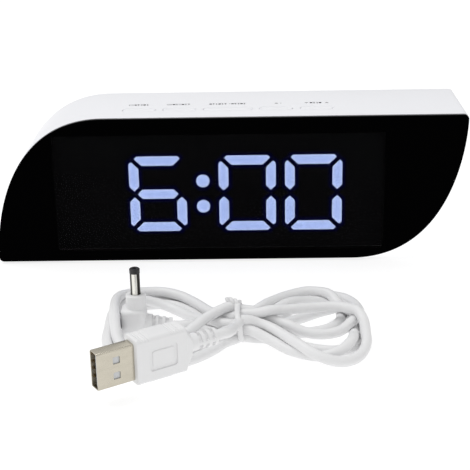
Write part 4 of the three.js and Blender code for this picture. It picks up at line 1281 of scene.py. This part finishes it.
class CLOCK_OT_marks(bpy.types.Operator):
    """Prints a small plain sign behind each button"""

    bl_idname = "clock.marks"
    bl_label = "Printed signs"

    def execute(self, context):
        top = span("main_housing")[1][2]
        rear_of_row = span("button_3")[1][1]
        y = rear_of_row + 4.4
        ink = Shells()
        sunk, proud, line = top - 0.02, top + 0.012, 0.28
        flat = [(0, sunk), (0, proud)]

        def dot(x, dy=0, size=0.55):
            ink.add(carried(disc(size, (x, y + dy), 14), flat, level))

        def bar(x, length, dy=0, thick=0.32):
            ink.add(carried(rounded(length, thick, thick / 2, (x, y + dy), 4), flat, level))

        def ring(x, size):
            profile = [*flat, (line, proud), (line, sunk)]
            ink.add(carried(disc(size, (x, y), 24), profile, level), closed=True)

        def arrow(x, way):
            """Three bars, each shorter than the last, that make a small arrowhead."""
            for step in range(3):
                bar(x, 1.5 - 0.5 * step, way * (0.42 * step - 0.42), 0.36)

        def block_sign(x, length, depth=1.9):
            """A row of upright strokes with a bar above and below some of them."""
            for step in range(int(length / 1.15) + 1):
                at = x - length / 2 + 1.15 * step
                bar(at, 0.42, 0, depth if step % 3 else 0.7 * depth)
                if step % 2:
                    bar(at - 0.1, 0.8, 0.36 * depth * (1 if step % 4 == 1 else -1), 0.4)

        # Each sign is a plain icon and a row of strokes; no letters.
        centre = [middle(node)[0] for node in BUTTONS]
        ring(centre[0] - 3.6, 1.9)
        block_sign(centre[0] + 0.9, 5.6)
        ring(centre[1] - 4.2, 1.9)
        dot(centre[1] - 4.2)
        block_sign(centre[1] + 0.9, 6.8)
        block_sign(centre[2] - 3.6, 6.2)
        dot(centre[2] + 0.6, 0, 0.7)
        block_sign(centre[2] + 4.4, 5.4)
        arrow(centre[3] + 0.2, 1)
        dot(centre[3] + 1.9, 0, 0.6)
        arrow(centre[4] - 3.6, -1)
        block_sign(centre[4] + 0.4, 4.4)
        arrow(centre[4] + 4.2, 1)
        finish_piece(ink.mesh("printed_signs"), "housing", "black_plastic", printed_ink("print_grey"))
        return {"FINISHED"}


# ------------------------------------------------------------------------------- the clock's rear
class CLOCK_OT_rear_cover(bpy.types.Operator):
    """Builds the rear cover with its cell tray, screw seats, sound holes and jack hole"""

    bl_idname = "clock.rear_cover"
    bl_label = "Rear cover"

    def execute(self, context):
        low, high = span("rear_cover")
        back, front = high[1], high[1] - 2.4
        inset = low[0] - span("main_housing")[0][0]
        cover = solid("rear_cover_shell", carried(
            leaf,
            [(inset + 0.3, back), (inset + 0.09, back - 0.06), (inset, back - 0.3), (inset, front)],
            upright,
        ), smooth_angle=30)
        door_low, door_high = span("battery_door")
        centre = middle("battery_door")[[0, 2]]
        width, height = (door_high - door_low)[[0, 2]] + 0.5
        ledge, tray_wall = 1.6, 1.2
        tray_front = low[1]
        across_tray, up_tray = width - 2 * ledge, height - 2 * ledge
        tray = rounded(across_tray + 2 * tray_wall, up_tray + 2 * tray_wall, 0.6, centre)
        box = solid("tray", carried(tray, [(0, tray_front), (0, back - 0.5)], upright))
        combine(cover, [box], "UNION", 30)
        hollow = rounded(across_tray, up_tray, 0.5, centre)
        tools = [
            solid("hollow", carried(hollow, [(0, tray_front + tray_wall), (0, back + 1)], upright)),
            hole("recess", rounded(width, height, 0.6, centre), door_low[1] - 0.1, back, 0.15),
        ]
        for index in range(1, 5):
            at = middle(f"cover_screw_{index}")[[0, 2]]
            tools.append(hole("seat", disc(5.1, at), back - 1.6, back, 0.15))
        tools.append(hole("jack_hole", disc(6.9, middle("dc_jack")[[0, 2]]), front - 1, back, 0.2))
        for ring, count in ((0, 1), (3, 4)):
            for step in range(count):
                turn = TAU * step / count
                at = middle("buzzer")[[0, 2]] + ring * np.array([math.cos(turn), math.sin(turn)])
                tools.append(hole("sound_hole", disc(1.6, at, 20), front - 1, back, 0.12))
        combine(cover, tools, "DIFFERENCE", 30)
        white = moulded_white("cover_white", context.scene.clock_colours.shell)
        finish_piece(cover, "housing", "white_shell", white, "rear_cover")
        return {"FINISHED"}


class CLOCK_OT_door(bpy.types.Operator):
    """Builds the battery door with its thumb notch and grip lines"""

    bl_idname = "clock.door"
    bl_label = "Battery door"

    def execute(self, context):
        low, high = span("battery_door")
        face = high[1]
        centre = middle("battery_door")[[0, 2]]
        panel = rounded(*(high - low)[[0, 2]], 0.5, centre)
        panel_profile = slab_profile(low[1], face, 0.1, 0.2)
        door = solid("door_panel", carried(panel, panel_profile, upright), smooth_angle=40)
        notch_x = high[0] - 1.2
        scoop = rounded(6.4, 14, 3.1, (notch_x, centre[1]), 10)
        scoop_profile = [(1.6, face - 0.6), (0.7, face - 0.5), (0.1, face - 0.1), (0, face), (0, face + 1)]
        tools = [solid("scoop", carried(scoop, scoop_profile, upright))]
        line_profile = [(0.15, face - 0.3), (0, face - 0.15), (-0.05, face), (-0.05, face + 1)]
        for step in range(5):
            groove = rounded(0.5, 16, 0.25, (high[0] - 7 - 1.4 * step, centre[1]), 4)
            tools.append(solid("grip_line", carried(groove, line_profile, upright)))
        combine(door, tools, "DIFFERENCE", 40)
        white = moulded_white("door_white", context.scene.clock_colours.shell)
        finish_piece(door, "battery_door", "white_shell", white, "battery_door")
        return {"FINISHED"}


class CLOCK_OT_screws(bpy.types.Operator):
    """Builds the four cover screws with domed cross-recess heads"""

    bl_idname = "clock.screws"
    bl_label = "Cover screws"

    def execute(self, context):
        steel = plated_metal("screw_steel", (0.6, 0.61, 0.63, 1), (1, 1, 1), 0.3)
        for index in range(1, 5):
            node = f"cover_screw_{index}"
            low, high = span(node)
            at = middle(node)[[0, 2]]
            top = high[1]
            head = 2.3
            profile = [
                (0.1, low[1]), (1.1, low[1] + 1), (1.1, top - 1.5), (head, top - 1.5), (head, top - 0.7),
                (0.93 * head, top - 0.4), (0.75 * head, top - 0.15), (0.45 * head, top - 0.03), (0.1, top),
            ]
            screw = solid(f"cover_screw_head_{index}", turned(profile, at, upright), smooth_angle=40)
            angle = 0.5 + 0.9 * index
            cosine, sine = math.cos(angle), math.sin(angle)
            crosses = []
            for width, height in ((2.7, 0.6), (0.6, 2.7)):
                flat = rounded(width, height, 0.12)
                rows = [
                    upright(at + flat(inset) @ np.array([[cosine, sine], [-sine, cosine]]), depth)
                    for inset, depth in ((0.22, top - 0.9), (0, top - 0.1), (0, top + 1))
                ]
                crosses.append(solid("cross", np.stack(rows)))
            combine(screw, crosses, "DIFFERENCE", 40)
            finish_piece(screw, "housing", "screw_steel", steel, node)
        return {"FINISHED"}


class CLOCK_OT_feet(bpy.types.Operator):
    """Builds the four rubber feet with soft edges"""

    bl_idname = "clock.feet"
    bl_label = "Feet"

    def execute(self, context):
        rubber = dark_moulding("foot_rubber", (0.02, 0.02, 0.021, 1), 0.75, 0.6, 0.04)
        for index in range(1, 5):
            node = f"foot_{index}"
            low, high = span(node)
            radius = (high[0] - low[0]) / 2
            floor = low[2]
            profile = [
                (0.6 * radius, floor + 0.12), (0.62 * radius, floor + 0.02), (0.66 * radius, floor),
                (0.9 * radius, floor), (0.97 * radius, floor + 0.1), (radius, floor + 0.35),
                (radius, high[2]),
            ]
            pad = turned(profile, middle(node)[:2], level)
            foot = solid(f"rubber_foot_{index}", pad, smooth_angle=50)
            finish_piece(foot, "housing", "foot_rubber", rubber, node)
        return {"FINISHED"}


class CLOCK_OT_jack(bpy.types.Operator):
    """Builds the power jack: its block, round mouth and centre pin"""

    bl_idname = "clock.jack"
    bl_label = "Power jack"

    def execute(self, context):
        low, high = span("dc_jack")
        at = middle("dc_jack")[[0, 2]]
        back = high[1]
        collar, bottom = back - 2.6, back - 10.5
        shells = Shells()
        block_profile = slab_profile(low[1], back - 10.8, 0.3, 0.01)
        shells.add(carried(rounded(9, 7, 0.5, at), block_profile, upright))
        mouth = [
            (1.95, bottom), (1.95, back - 0.3), (2.2, back), (2.95, back), (3.2, back - 0.25),
            (3.2, collar), (3.4, collar), (3.4, bottom),
        ]
        shells.add(turned(mouth, at, upright), closed=True)
        black = dark_moulding("jack_black", (0.014, 0.014, 0.015, 1), 0.4)
        finish_piece(shells.mesh("jack_socket", 40), "housing", "black_plastic", black, "dc_jack")
        root = back - 10.6
        pin_profile = [(0.1, root), (0.6, root), (0.6, back - 2.2), (0.45, back - 1.7), (0.1, back - 1.5)]
        pin = solid("jack_pin", turned(pin_profile, at, upright, 24), smooth_angle=50)
        finish_piece(pin, "housing", "nickel", plated_metal("pin_metal", (0.75, 0.72, 0.66, 1)))
        return {"FINISHED"}


# ------------------------------------------------------------------------------- inner pieces, stage
class CLOCK_OT_inner(bpy.types.Operator):
    """Gives the boards, cells, contacts and other inner pieces their finishes"""

    bl_idname = "clock.inner"
    bl_label = "Inner pieces"

    def execute(self, context):
        finishes = {
            "board": coated_board("board_green"),
            "chip": dark_moulding("chip_black", (0.014, 0.014, 0.015, 1), 0.5),
            "buzzer": dark_moulding("buzzer_black", (0.012, 0.012, 0.013, 1), 0.5),
            "switch_body": dark_moulding("switch_black", (0.016, 0.016, 0.017, 1), 0.4),
            "switch_plunger": milky_plastic("plunger_white"),
            "display_reflector": milky_plastic("reflector_white"),
            "contact": plated_metal("contact_nickel", (0.66, 0.65, 0.62, 1)),
            "board_screw": plated_metal("board_screw_steel", (0.6, 0.61, 0.63, 1)),
        }
        for name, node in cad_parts.items():
            kinds = [kind for kind in finishes if kind in name]
            if name.startswith("aaa_cell"):
                node.active_material = wrapped_cell(f"{name}_wrap", name)
            elif kinds and not node.hide_render:
                node.active_material = finishes[max(kinds, key=len)]
        return {"FINISHED"}


class CLOCK_OT_stage(bpy.types.Operator):
    """Lays the pale floor and sets the soft studio lights"""

    bl_idname = "clock.stage"
    bl_label = "Stage"

    def execute(self, context):
        half = 4.0
        corners = [(-half, -half, 0), (half, -half, 0), (half, half, 0), (-half, half, 0)]
        mesh = bpy.data.meshes.new("floor")
        mesh.from_pydata(corners, [], [(0, 1, 2, 3)])
        floor = bpy.data.objects.new("floor", mesh)
        context.scene.collection.objects.link(floor)
        paper = Finish(
            "floor_paper", (0.35, 0.35, 0.35, 1), Roughness=0.9, Specular_IOR_Level=0.0,
            Emission_Color=(1, 1, 1, 1), Emission_Strength=0.76,
        )
        mesh.materials.append(paper.material)
        world = bpy.data.worlds.new("studio")
        world.use_nodes = True
        world.node_tree.nodes["Background"].inputs["Color"].default_value = (1, 1, 1, 1)
        world.node_tree.nodes["Background"].inputs["Strength"].default_value = 0.66
        context.scene.world = world
        lamps = {
            "key": ((-0.6, 0.1, 1.2), (0, -0.03, 0.03), 0.7, 6.5),
            "fill": ((0.8, -0.9, 0.8), (0, -0.03, 0.03), 0.8, 1.2),
            "rim": ((0.1, 0.9, 0.9), (0, 0, 0.05), 0.8, 0.6),
        }
        for name, (stand, aim, size, power) in lamps.items():
            data = bpy.data.lights.new(name, "AREA")
            data.size = size
            data.energy = power
            lamp = bpy.data.objects.new(name, data)
            context.scene.collection.objects.link(lamp)
            back = np.array(stand) - np.array(aim)
            back /= np.linalg.norm(back)
            right = np.cross((0, 0, 1), back)
            right /= np.linalg.norm(right)
            lamp.matrix_world = stood(stand, right, np.cross(back, right), back)
        context.scene.view_settings.view_transform = "Standard"
        return {"FINISHED"}


# ------------------------------------------------------------------------------- panel and main
STEPS = (
    CLOCK_OT_camera, CLOCK_OT_dc_plug, CLOCK_OT_usb_plug, CLOCK_OT_tie, CLOCK_OT_cord,
    CLOCK_OT_housing, CLOCK_OT_lens, CLOCK_OT_display, CLOCK_OT_buttons, CLOCK_OT_marks,
    CLOCK_OT_rear_cover, CLOCK_OT_door, CLOCK_OT_screws, CLOCK_OT_feet, CLOCK_OT_jack,
    CLOCK_OT_inner, CLOCK_OT_stage,
)


class CLOCK_PT_panel(bpy.types.Panel):
    """Lists the clock's sizes, colours and building steps"""

    bl_idname = "CLOCK_PT_panel"
    bl_label = "Alarm clock"
    bl_space_type = "VIEW_3D"
    bl_region_type = "UI"
    bl_category = "Clock"

    def draw(self, context):
        for group in (context.scene.clock_sizes, context.scene.clock_colours):
            for name in group.bl_rna.properties.keys():
                if name not in ("rna_type", "name"):
                    self.layout.prop(group, name)
        for step in STEPS:
            self.layout.operator(step.bl_idname)


CLASSES = (ClockSizes, ClockColours, *STEPS, CLOCK_PT_panel)


def register():
    for made in CLASSES:
        bpy.utils.register_class(made)
    bpy.types.Scene.clock_sizes = bpy.props.PointerProperty(type=ClockSizes)
    bpy.types.Scene.clock_colours = bpy.props.PointerProperty(type=ClockColours)


def unregister():
    del bpy.types.Scene.clock_sizes
    del bpy.types.Scene.clock_colours
    for made in reversed(CLASSES):
        bpy.utils.unregister_class(made)


def main():
    register()
    for step in STEPS:
        group, name = step.bl_idname.split(".")
        getattr(getattr(bpy.ops, group), name)()


if __name__ == "__main__":
    main()
